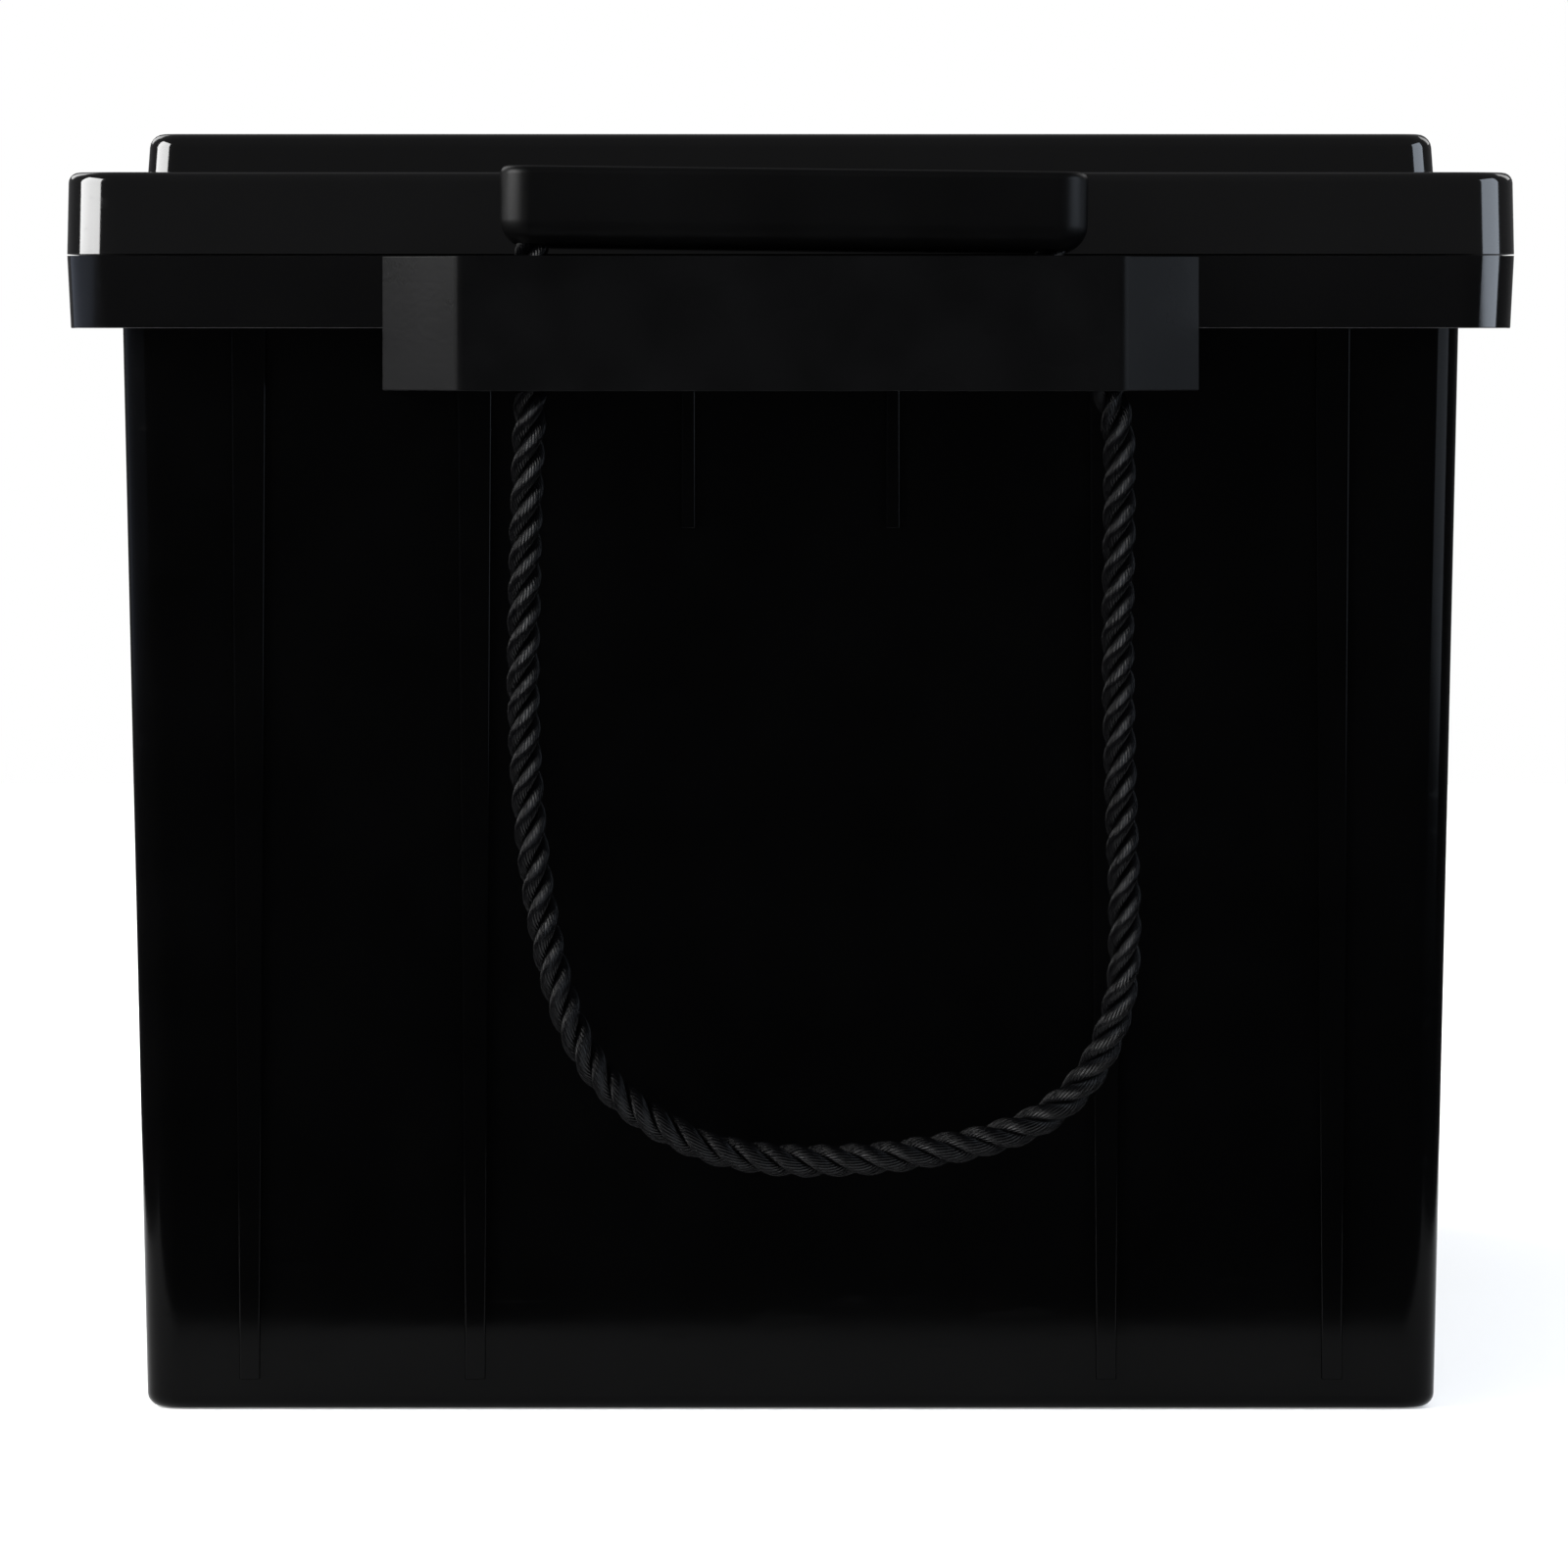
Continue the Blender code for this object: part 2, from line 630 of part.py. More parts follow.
def make_plate_group(kind, number, side, row, tab_side, count, bottom_z, finish):
    name = f"{kind}_plates_{number}"
    first_x = side * CELL_X - (count - 1) * PLATE_PITCH
    mesh = plate_mesh(name, tab_side, bottom_z)
    group = add_object(name, mesh, finish, (first_x, row * CELL_Y, 0), (math.pi / 2, 0, math.pi / 2))
    array = group.modifiers.new("plates", "ARRAY")
    array.count = count
    array.use_relative_offset = False
    array.use_constant_offset = True
    array.constant_offset_displace = (0, 0, 2 * PLATE_PITCH)
    joins_across = (number == 3 and kind == "negative") or (number == 4 and kind == "positive")
    at_terminal = (number == 1 and kind == "positive") or (number == 6 and kind == "negative")
    half_x = (count - 1) * PLATE_PITCH + STRAP_OVERHANG
    inner_x = side * MIDDLE_UPRIGHT_X if joins_across else side * (CELL_X - half_x)
    outer_x = side * (CELL_X + half_x)
    near = TERMINAL_STRAP_NEAR if at_terminal else STRAP_NEAR
    near_y = row * CELL_Y + tab_side * near
    far_y = row * CELL_Y + tab_side * STRAP_FAR
    strap = box_tool(f"{name}_strap", (inner_x, near_y, STRAP_BOTTOM_Z), (outer_x, far_y, STRAP_TOP_Z))
    join_with(group, strap)
    if at_terminal:
        return
    foot_z = (STRAP_BOTTOM_Z + STRAP_TOP_Z) / 2
    if joins_across:
        low = (inner_x, MIDDLE_WELD_Y - UPRIGHT_HALF, foot_z)
        high = (inner_x + side * UPRIGHT_THICK, MIDDLE_WELD_Y + UPRIGHT_HALF, UPRIGHT_TOP_Z)
    else:
        low = (side * CELL_X - UPRIGHT_HALF, far_y, foot_z)
        high = (side * CELL_X + UPRIGHT_HALF, far_y - tab_side * UPRIGHT_THICK, UPRIGHT_TOP_Z)
    join_with(group, box_tool(f"{name}_upright", low, high))


def thick_path(points, thickness):
    """The outline of a right-angled path with a thickness, as one closed loop."""
    left, right = [], []
    for index, point in enumerate(points):
        before = (point - points[index - 1]).normalized() if index else None
        after = (points[index + 1] - point).normalized() if index < len(points) - 1 else None
        sides = [Vector((-way.y, way.x)) for way in (before, after) if way is not None]
        offset = sum(sides, Vector((0, 0))) * thickness / 2
        left.append(point + offset)
        right.append(point - offset)
    return left + right[::-1]


def make_separator(number, side, row, bottom_z):
    """One sheet of glass mat that winds between the plates, folded at their upright edges."""
    legs = 2 * POSITIVE_PLATES
    fold = PLATE_HALF_Y + GAP + MAT_THICK / 2
    centre = []
    for leg in range(legs):
        x = (leg - (legs - 1) / 2) * PLATE_PITCH
        start, stop = (-fold, fold) if leg % 2 == 0 else (fold, -fold)
        centre.append(Vector((x, -PLATE_HALF_Y if leg == 0 else start)))
        centre.append(Vector((x, -PLATE_HALF_Y if leg == legs - 1 else stop)))
    name = f"separator_{number}"
    mesh = outline_mesh(name, thick_path(centre, MAT_THICK), MAT_TOP_Z - bottom_z)
    place = (side * CELL_X, row * CELL_Y, (MAT_TOP_Z + bottom_z) / 2)
    add_object(name, mesh, "glass_mat", place)


def make_cells():
    bottom_z = FLOOR_THICK + GAP
    for number, (side, row) in enumerate(CELLS, 1):
        positive_tab = side
        make_plate_group("positive", number, side, row, positive_tab, POSITIVE_PLATES, bottom_z,
                         "positive_paste")
        make_plate_group("negative", number, side, row, -positive_tab, POSITIVE_PLATES + 1, bottom_z,
                         "negative_paste")
        make_separator(number, side, row, bottom_z)


def make_welds():
    across = 2 * (MIDDLE_UPRIGHT_X - GAP)
    far_upright = CELL_Y - STRAP_FAR
    for number, (place, direction) in enumerate(weld_places(), 1):
        length = across
        if direction == "Y":
            middle_y = math.copysign((STRAP_FAR + far_upright) / 2, place[1])
            place = (place[0], middle_y, place[2])
            length = far_upright - STRAP_FAR - 2 * GAP
        mesh = disc_mesh(f"intercell_weld_{number}", WELD_RADIUS, -length / 2, length / 2,
                         SMALL_ROUND_STEPS)
        add_object(f"intercell_weld_{number}", mesh, "lead", place, turn_for(direction))


# ---- terminals -------------------------------------------------------------------------------------
def turned_mesh(name, profile, steps=ROUND_STEPS):
    """Turn a closed profile of (radius, height) points, listed downward on its outer side."""
    bm = bmesh.new()
    verts = [bm.verts.new((radius, 0, z)) for radius, z in profile]
    for first, second in zip(verts, verts[1:] + verts[:1]):
        bm.edges.new((first, second))
    bmesh.ops.spin(bm, geom=bm.verts[:] + bm.edges[:], cent=(0, 0, 0), axis=(0, 0, 1), angle=math.tau,
                   steps=steps, use_merge=True)
    bmesh.ops.remove_doubles(bm, verts=bm.verts, dist=MERGE)
    face_outward(bm)
    return round_mesh(bm, name)


def seal_profile():
    """The round section of the ring between the post's pad and the floor of its well."""
    ring_radius = POST_RADIUS + SEAL_RADIUS + GAP
    middle_z = (WELL_FLOOR_Z + PAD_BOTTOM_Z) / 2
    profile = []
    for step in range(SEAL_STEPS):
        angle = step * math.tau / SEAL_STEPS
        across, down = SEAL_RADIUS * math.cos(angle), SEAL_RADIUS * math.sin(angle)
        profile.append((ring_radius + across, middle_z - down))
    return profile


def make_terminal(word, side):
    """A cast post through the well's floor, with its seal, and the washer and bolt that hold a cable lug."""
    place = (side * TERMINAL_X, TERMINAL_Y, 0)
    post = disc_mesh(f"terminal_post_{word}", POST_RADIUS, STRAP_TOP_Z + GAP, PAD_BOTTOM_Z + JOIN)
    post = add_object(f"terminal_post_{word}", post, "lead", place)
    pad = disc_mesh(f"pad_{word}", PAD_RADIUS, PAD_BOTTOM_Z, PAD_TOP_Z)
    join_with(post, add_object(f"pad_{word}", pad, location=place))
    seat_z = PAD_TOP_Z - SEAT_DEPTH
    seat = disc_mesh(f"seat_{word}", WASHER_RADIUS + 2 * GAP, seat_z, PAD_TOP_Z + DEEP)
    cut_with(post, add_object(f"seat_{word}", seat, location=place))
    shank_bottom = PAD_TOP_Z - BOLT_LENGTH
    thread = disc_mesh(f"thread_{word}", BOLT_RADIUS + GAP, shank_bottom - 2 * GAP, PAD_TOP_Z + DEEP,
                       SMALL_ROUND_STEPS)
    cut_with(post, add_object(f"thread_{word}", thread, location=place))
    seal = turned_mesh(f"terminal_seal_{word}", seal_profile())
    add_object(f"terminal_seal_{word}", seal, "seal_rubber", place)

    washer_low = seat_z + GAP
    washer_high = washer_low + WASHER_THICK
    inner = BOLT_RADIUS + GAP
    ring = [
        (WASHER_RADIUS, washer_high),
        (WASHER_RADIUS, washer_low),
        (inner, washer_low),
        (inner, washer_high),
    ]
    add_object(f"terminal_washer_{word}", turned_mesh(f"terminal_washer_{word}", ring), "brass", place)

    head_low = washer_high + GAP
    head = disc_mesh(f"terminal_bolt_{word}", HEX_RADIUS, head_low, head_low + HEX_HEIGHT, HEX_SIDES)
    bolt = add_object(f"terminal_bolt_{word}", head, "bolt_steel", place)
    shank = disc_mesh(f"shank_{word}", BOLT_RADIUS, shank_bottom, head_low + HEX_HEIGHT / 2,
                      SMALL_ROUND_STEPS)
    join_with(bolt, add_object(f"shank_{word}", shank, location=place))


# ---- vents -----------------------------------------------------------------------------------------
def make_valves():
    """A rubber cap over each neck, in the order of the cells."""
    skirt_inner = NECK_RADIUS + GAP
    low = CHANNEL_FLOOR_Z + GAP
    ceiling = NECK_TOP_Z + GAP
    profile = [
        (0.0, VALVE_TOP_Z),
        (VALVE_RADIUS - VALVE_EDGE, VALVE_TOP_Z),
        (VALVE_RADIUS, VALVE_TOP_Z - VALVE_EDGE),
        (VALVE_RADIUS, low),
        (skirt_inner, low),
        (skirt_inner, ceiling),
        (0.0, ceiling),
    ]
    mesh = bpy.data.meshes.new("valve_cap_profile")
    edges = [(point, point + 1) for point in range(len(profile) - 1)]
    mesh.from_pydata([(radius, 0, z) for radius, z in profile], edges, [])
    mesh.materials.append(MATERIALS["seal_rubber"])
    for number, (side, row) in enumerate(CELLS, 1):
        cap = bpy.data.objects.new(f"valve_cap_{number}", mesh)
        cap.location = (side * CELL_X, row * CELL_Y, 0)
        PARTS.objects.link(cap)
        screw = cap.modifiers.new("turn", "SCREW")
        screw.steps = SMALL_ROUND_STEPS
        screw.render_steps = SMALL_ROUND_STEPS
        screw.use_merge_vertices = True
        screw.merge_threshold = MERGE


def make_vent_cover(word, side):
    """The flat cover over a channel, with gas slots and pry notches, and the felt under it."""
    z_high = HEIGHT - GAP
    cover_low = (side * (CELL_X - CHANNEL_HALF_X + GAP), CHANNEL_START_Y + GAP, z_high - VENT_COVER_THICK)
    cover_high = (side * (CELL_X + CHANNEL_HALF_X - GAP), CHANNEL_END_Y - GAP, z_high)
    lower = [min(a, b) for a, b in zip(cover_low, cover_high)]
    upper = [max(a, b) for a, b in zip(cover_low, cover_high)]
    cover = add_object(f"vent_cover_{word}", box_mesh(f"vent_cover_{word}", lower, upper), "lid_plastic")
    for number, y in enumerate((FILTER_Y - VENT_SLOT_PITCH / 2, FILTER_Y + VENT_SLOT_PITCH / 2)):
        slot = box_tool(
            f"gas_slot_{word}_{number}",
            (side * CELL_X - VENT_SLOT_X, y - VENT_SLOT_Y, HEIGHT - DEEP),
            (side * CELL_X + VENT_SLOT_X, y + VENT_SLOT_Y, HEIGHT + DEEP),
        )
        cut_with(cover, slot)
    for number, (edge_y, way) in enumerate(((lower[1], 1), (upper[1], -1))):
        notch = box_tool(
            f"pry_notch_{word}_{number}",
            (side * CELL_X - PRY_HALF_X, edge_y - way * DEEP, z_high - PRY_DEPTH),
            (side * CELL_X + PRY_HALF_X, edge_y + way * PRY_LENGTH, z_high + DEEP),
        )
        cut_with(cover, notch)
    felt_top = z_high - VENT_COVER_THICK - GAP
    felt = disc_mesh(f"vent_filter_{word}", FILTER_RADIUS, felt_top - FILTER_THICK, felt_top,
                     SMALL_ROUND_STEPS)
    add_object(f"vent_filter_{word}", felt, "filter_felt", (side * CELL_X, FILTER_Y, 0))


# ---- handles ---------------------------------------------------------------------------------------
def smooth_line(points, spacing):
    """Points at even steps along a Catmull-Rom curve through the given ones."""
    ends = [2 * points[0] - points[1], *points, 2 * points[-1] - points[-2]]
    fine = []
    for before, start, stop, after in zip(ends, ends[1:], ends[2:], ends[3:]):
        for step in range(CURVE_STEPS):
            t = step / CURVE_STEPS
            fine.append(0.5 * (2 * start + (stop - before) * t
                               + (2 * before - 5 * start + 4 * stop - after) * t * t
                               + (3 * start - before - 3 * stop + after) * t ** 3))
    fine.append(points[-1])
    lengths = [0.0]
    for start, stop in zip(fine, fine[1:]):
        lengths.append(lengths[-1] + (stop - start).length)
    count = round(lengths[-1] / spacing)
    line = []
    index = 0
    for number in range(count + 1):
        target = lengths[-1] * number / count
        while index < len(fine) - 2 and lengths[index + 1] < target:
            index += 1
        share = (target - lengths[index]) / (lengths[index + 1] - lengths[index])
        line.append(fine[index].lerp(fine[index + 1], share))
    return line


def make_handle(word, end):
    """The grip and its rope under an empty at the lug, so both slide together along Z."""
    turn = 0.0 if end < 0 else math.pi
    slider = bpy.data.objects.new(f"handle_slide_{word}", None)
    slider.location = (0, end * -HANDLE_Y, SEAM_Z)
    slider.rotation_euler = (0, 0, turn)
    PARTS.objects.link(slider)

    half = (GRIP_LENGTH / 2, GRIP_DEPTH / 2)
    mesh = tapered_block(f"grip_{word}", -GRIP_HEIGHT / 2, half, GRIP_HEIGHT / 2, half,
                         GRIP_END_RADIUS, GRIP_LOW_EDGE, GRIP_HIGH_EDGE)
    grip = add_object(f"grip_{word}", mesh, "grip_plastic")
    grip.parent = slider
    drop = GRIP_LENGTH / 2 * math.sin(GRIP_TILT)
    grip.location = (GRIP_X, 0, GRIP_HEIGHT / 2 + GAP + drop)
    grip.rotation_euler = (0, GRIP_TILT, 0)
    for side in (-1, 1):
        name = f"rope_socket_{word}_{side}"
        socket = disc_mesh(name, ROPE_SOCKET_RADIUS, -DEEP, ROPE_SOCKET_DEPTH, SMALL_ROUND_STEPS)
        tool = add_object(name, socket, location=(side * ROPE_END_X, 0, 0))
        tool.parent = slider
        cut_with(grip, tool)

    route = [Vector((x, 0, z - SEAM_Z)) for x, z in ROPE_ROUTE]
    curve = bpy.data.curves.new(f"rope_{word}", "CURVE")
    curve.dimensions = "3D"
    curve.bevel_depth = ROPE_DIAMETER / 2
    curve.bevel_resolution = ROPE_RESOLUTION
    curve.use_fill_caps = True
    spline = curve.splines.new("POLY")
    line = smooth_line(route, ROPE_POINT_SPACING)
    spline.points.add(len(line) - 1)
    for target, place in zip(spline.points, line):
        target.co = (*place, 1)
    rope = bpy.data.objects.new(f"rope_{word}", curve)
    curve.materials.append(MATERIALS["rope_fibre"])
    PARTS.objects.link(rope)
    rope.parent = slider


make_container()
make_lid()
make_cells()
make_welds()
for polarity, side_sign in (("positive", 1), ("negative", -1)):
    make_terminal(polarity, side_sign)
for row_name, side_sign in (("right", 1), ("left", -1)):
    make_vent_cover(row_name, side_sign)
make_valves()
for handle_name, end_sign in (("front", -1), ("rear", 1)):
    make_handle(handle_name, end_sign)
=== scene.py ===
"""The looks of a sealed group 8D battery with a rope handle at each end."""
import json
import math

import bmesh
import bpy
import numpy as np
from mathutils import Matrix, Vector


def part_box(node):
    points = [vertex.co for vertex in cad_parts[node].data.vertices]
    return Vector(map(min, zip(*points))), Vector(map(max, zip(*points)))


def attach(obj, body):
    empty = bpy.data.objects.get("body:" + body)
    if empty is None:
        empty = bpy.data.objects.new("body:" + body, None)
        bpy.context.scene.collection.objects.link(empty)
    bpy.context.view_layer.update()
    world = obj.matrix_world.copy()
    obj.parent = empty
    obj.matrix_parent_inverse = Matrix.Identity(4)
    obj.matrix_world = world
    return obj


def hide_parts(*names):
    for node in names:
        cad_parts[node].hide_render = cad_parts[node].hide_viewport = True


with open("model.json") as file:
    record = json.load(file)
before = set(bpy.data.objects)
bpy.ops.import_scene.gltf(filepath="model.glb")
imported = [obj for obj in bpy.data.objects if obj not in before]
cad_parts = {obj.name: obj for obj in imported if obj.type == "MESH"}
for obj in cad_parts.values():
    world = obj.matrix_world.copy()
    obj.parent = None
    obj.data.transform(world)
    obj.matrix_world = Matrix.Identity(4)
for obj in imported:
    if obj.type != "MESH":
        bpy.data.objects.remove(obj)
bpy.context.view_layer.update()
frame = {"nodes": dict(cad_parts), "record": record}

CONTAINER_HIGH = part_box("container")[1]
LID_LOW, LID_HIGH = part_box("lid")
ROPE_LOW, ROPE_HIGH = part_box("rope_front")

# ---- sizes that follow from the frame, in metres -------------------------------------------------
RIM_HALF_X = LID_HIGH.x
RIM_HALF_Y = LID_HIGH.y
LUG_FACE_Y = CONTAINER_HIGH.y
CONTAINER_TOP_Z = CONTAINER_HIGH.z
LID_BOTTOM_Z = LID_LOW.z
SEAM_Z = (CONTAINER_TOP_Z + LID_BOTTOM_Z) / 2
DECK_TOP_Z = LID_HIGH.z
HANDLE_Y = (ROPE_LOW.y + ROPE_HIGH.y) / 2
HANDLE_OUT = -HANDLE_Y
ENDS = {"front": -1, "rear": 1}

# container details, as the frame's container has them
RIM_BOTTOM_Z = 0.2119
RIM_TAPER = 0.0007
RIM_CORNER = 0.011
RIM_EDGE = 0.0002
WALL_SETBACK = 0.0105
WALL_DRAFT = 0.0046
WALL_CORNER = 0.007
BOTTOM_EDGE = 0.0027
WALL_THICK = 0.0050
FLOOR_THICK = 0.0045
PARTITION_THICK = 0.0030
PARTITION_Y = 0.0768
END_RIBS = (0.0618, 0.1060)
SIDE_RIBS = (0.0380, 0.1140, 0.1900)
RIB_TOP_WIDTH = 0.0069
RIB_BOTTOM_WIDTH = 0.0040
RIB_PROUD = 0.0012
RIB_FOOT_Z = 0.006
RIB_EDGE = 0.0004
SHORT_RIB_X = 0.0200
SHORT_RIB_WIDTH = 0.0027
SHORT_RIB_DROP = 0.027
LUG_BASE_X = 0.0794
LUG_FACE_X = 0.0645
LUG_BOTTOM_Z = 0.1997
LUG_TOP_DROP = 0.0001
LUG_EDGE = 0.0003
LUG_SIDE_EDGE = 0.0012
SLOT_INNER_X = 0.0462
SLOT_OUTER_X = 0.0690
SLOT_WIDE = 0.0088
SLOT_CORNER = 0.0035
JOIN_DEPTH = 0.002          # how far one joined shape runs into the next
WALL_INTO_RIM = 0.004
CUT_SPARE = 0.02            # how far a cutting tool runs past what it cuts

# lid details
RIM_TOP_Z = 0.2423
RIM_TOP_EDGE = 0.0020
LID_TAPER = 0.0003
DECK_INSET = 0.0149
DECK_DRAFT = 0.0008
DECK_CORNER = 0.0065
DECK_EDGE = 0.0026
DECK_THICK = 0.0043
POCKET_WALL = 0.0040
WELL_SIZE = 0.0440
WELL_FLOOR_Z = 0.2310
WELL_WALL = 0.0040
WELL_CORNER = 0.004
CABLE_NOTCH = 0.0200
MARK_SIZE = 0.0140
MARK_STROKE = 0.0034
MARK_DEPTH = 0.0006
MARK_Y = 0.1600
MARK_CORNER = 0.0012
CHANNEL_CORNER = 0.003
DECK_INTO_RIM = 0.004
CHANNEL_FLOOR_Z = 0.2365
CHANNEL_WALL = 0.0035
NECK_RADIUS = 0.0080
NECK_BORE = 0.0050
NECK_TOP_Z = 0.2425
NECK_STEPS = 48
COVER_CORNER = 0.0028
COVER_EDGE = 0.0005
GAS_SLOT_SHIFT = 0.003
GAS_SLOT_HALF_LENGTH = 0.006
GAS_SLOT_HALF_WIDTH = 0.0012
GAS_SLOT_CORNER = 0.0011
PRY_HALF_LENGTH = 0.005
PRY_INSET = 0.0022
PRY_DEPTH = 0.0010
GAP = 0.0003

# terminals
POST_RADIUS = 0.0100
POST_BORE_RADIUS = 0.0043
POST_BORE_DEPTH = 0.0126
POST_EDGE = 0.0006
SEAT_DEPTH = 0.0006
SEAT_RADIUS = 0.0086
WASHER_EDGE = 0.0003
BOLT_HEAD_RADIUS = 0.0075   # over the corners of the hexagon
BOLT_SHANK_RADIUS = 0.0040
BOLT_SHANK_STEPS = 32
DOME_TOP_RADIUS = 0.0060    # flat top of the head, inside its rounded corners
DOME_RADIUS = 0.0077
DOME_LOW_RADIUS = 0.0070
DOME_TOP_DROP = 0.0010
DOME_LOW_RISE = 0.0004
DOME_SPARE = 0.0001

# handle
GRIP_TILT = math.radians(0.66)
GRIP_LENGTH = 0.1140
GRIP_DEPTH = 0.0134
GRIP_HEIGHT = 0.0156
GRIP_END_RADIUS = 0.0062
GRIP_LOW_EDGE = 0.0052
GRIP_HIGH_EDGE = 0.0016
ROPE_DIAMETER = 0.0065
ROPE_END_X = 0.0503
ROPE_STEP = 0.0009
ROPE_LAY = 0.0177
STRAND_SIDES = 28
STRAND_YARNS = 15
YARN_TWIST = 763.0         # radians a metre, which lays the outer yarns along the rope
STRANDS = 3
CURVE_PIECES = 24          # straight pieces between two points of the route
LAY_WANDER = ((0.10, 71.0, 0.0), (0.07, 173.0, 1.1))    # size, waves in radians a metre, start
STRAND_SWELL = (0.020, 240.0, 2.1)                      # the last one is the shift to the next strand
YARN_SWELL = (0.03, 410.0, 1.7)
SOCKET_PLAY = 0.0004
SOCKET_DEPTH = 0.0100
SOCKET_STEPS = 32
ROPE_ROUTE = (
    (-0.0503, 0.2359),
    (-0.0503, 0.2279),
    (-0.0504, 0.2129),
    (-0.0506, 0.1969),
    (-0.0512, 0.1789),
    (-0.0517, 0.1609),
    (-0.0519, 0.1429),
    (-0.0512, 0.1249),
    (-0.0499, 0.1099),
    (-0.0481, 0.0974),
    (-0.0456, 0.0859),
    (-0.0420, 0.0754),
    (-0.0365, 0.0664),
    (-0.0290, 0.0597),
    (-0.0216, 0.0554),
    (-0.0130, 0.0523),
    (-0.0011, 0.0506),
    (0.0150, 0.0509),
    (0.0280, 0.0525),
    (0.0380, 0.0545),
    (0.0478, 0.0582),
    (0.0555, 0.0643),
    (0.0610, 0.0729),
    (0.0642, 0.0839),
    (0.0648, 0.0979),
    (0.0641, 0.1159),
    (0.0636, 0.1359),
    (0.0634, 0.1569),
    (0.0637, 0.1769),
    (0.0634, 0.1929),
    (0.0606, 0.2019),
    (0.0556, 0.2104),
    (0.0514, 0.2184),
    (0.0503, 0.2264),
    (0.0503, 0.2359),
)

# camera: level, at the height of the rim's underside, with the view shifted down
CAMERA_DISTANCE = 2.06     # from the rim's face
CAMERA_Z = 0.2122
VIEW_CENTRE_Z = 0.1232
CAMERA_X = -0.0013
VIEW_WIDTH = 0.3051        # what the picture takes in at the rim's face
SENSOR = 36.0
CLIP = (0.05, 50)

# light: name, place, aim, size, radiance, colour
NEUTRAL = (1, 1, 1)
SOFTBOXES = (
    ("softbox_left", (-1.55, -0.80, 0.92), (0, -0.80, 0.92), (1.50, 1.30), 17.0, NEUTRAL),
    ("softbox_right", (1.60, -0.86, 0.66), (0, -0.86, 0.66), (1.30, 1.30), 5.2, (0.78, 0.87, 1)),
    ("card_left", (-1.90, -0.10, 0.13), (0, -0.10, 0.13), (3.60, 0.25), 0.42, (0.66, 0.76, 1)),
    ("softbox_back_left", (-1.30, 1.90, 1.45), (0, 0.2, 0.15), (1.00, 1.40), 2.4, NEUTRAL),
    ("softbox_back_right", (1.60, 1.70, 1.40), (0, 0.2, 0.15), (0.90, 1.30), 2.0, NEUTRAL),
)
FLOOR_LAMP = ("floor_lamp", (0, 0, 3.0), (0, 0.001, 0), (9.0, 9.0), 1.36)
# the dim room: height from 0 straight down to 1 straight up, and its colour there
ROOM_LOW = (0.425, (0.012, 0.012, 0.013, 1))
ROOM_LEVEL = (0.51, (0.15, 0.15, 0.155, 1))
ROOM_OVERHEAD = (0.80, (0.18, 0.18, 0.185, 1))

# floor
FLOOR_DROP = 0.0002
FLOOR_FAR = (2.3, 2.6)      # half sizes
NEAR_BESIDE = 0.25          # how far the part that shows in reflections runs out, beside the rim
NEAR_BEFORE = 0.09          # and before and behind the lugs

FINE_STEPS = 14
TOOL_STEPS = 6
EDGE_ROUND_STEPS = 5
SMALL_EDGE_STEPS = 3
MERGE = 1e-5
SKIN = 0.0005
ABOVE_Z = DECK_TOP_Z + 0.02
ROUND_STEPS = 64
SHARP_ANGLE = math.radians(32)


# ---- camera and light ------------------------------------------------------------------------------
def make_camera():
    data = bpy.data.cameras.new("camera")
    data.sensor_width = SENSOR
    data.lens = SENSOR * CAMERA_DISTANCE / VIEW_WIDTH
    data.shift_y = (VIEW_CENTRE_Z - CAMERA_Z) / VIEW_WIDTH
    data.clip_start, data.clip_end = CLIP
    camera = bpy.data.objects.new("camera", data)
    camera.location = (CAMERA_X, -RIM_HALF_Y - CAMERA_DISTANCE, CAMERA_Z)
    camera.rotation_euler = (math.radians(90), 0, 0)
    bpy.context.scene.collection.objects.link(camera)
    bpy.context.scene.camera = camera


def add_softbox(name, place, aim, size, radiance, colour=NEUTRAL):
    """A rectangular lamp whose power gives its surface the stated radiance."""
    data = bpy.data.lights.new(name, "AREA")
    data.color = colour
    data.shape = "RECTANGLE"
    data.size, data.size_y = size
    data.energy = radiance * math.pi * size[0] * size[1]
    lamp = bpy.data.objects.new(name, data)
    lamp.location = place
    lamp.rotation_euler = (Vector(aim) - Vector(place)).to_track_quat("-Z", "Y").to_euler()
    bpy.context.scene.collection.objects.link(lamp)
    return lamp


def make_lights():
    """Two tall boxes and a low card beside the object, two weak boxes behind it, and the floor's own lamp."""
    for row in SOFTBOXES:
        add_softbox(*row)
    floor_lamp = add_softbox(*FLOOR_LAMP)
    floor_lamp.light_linking.receiver_collection = bpy.data.collections["floor"]
    floor_lamp.light_linking.blocker_collection = bpy.data.collections["floor"]


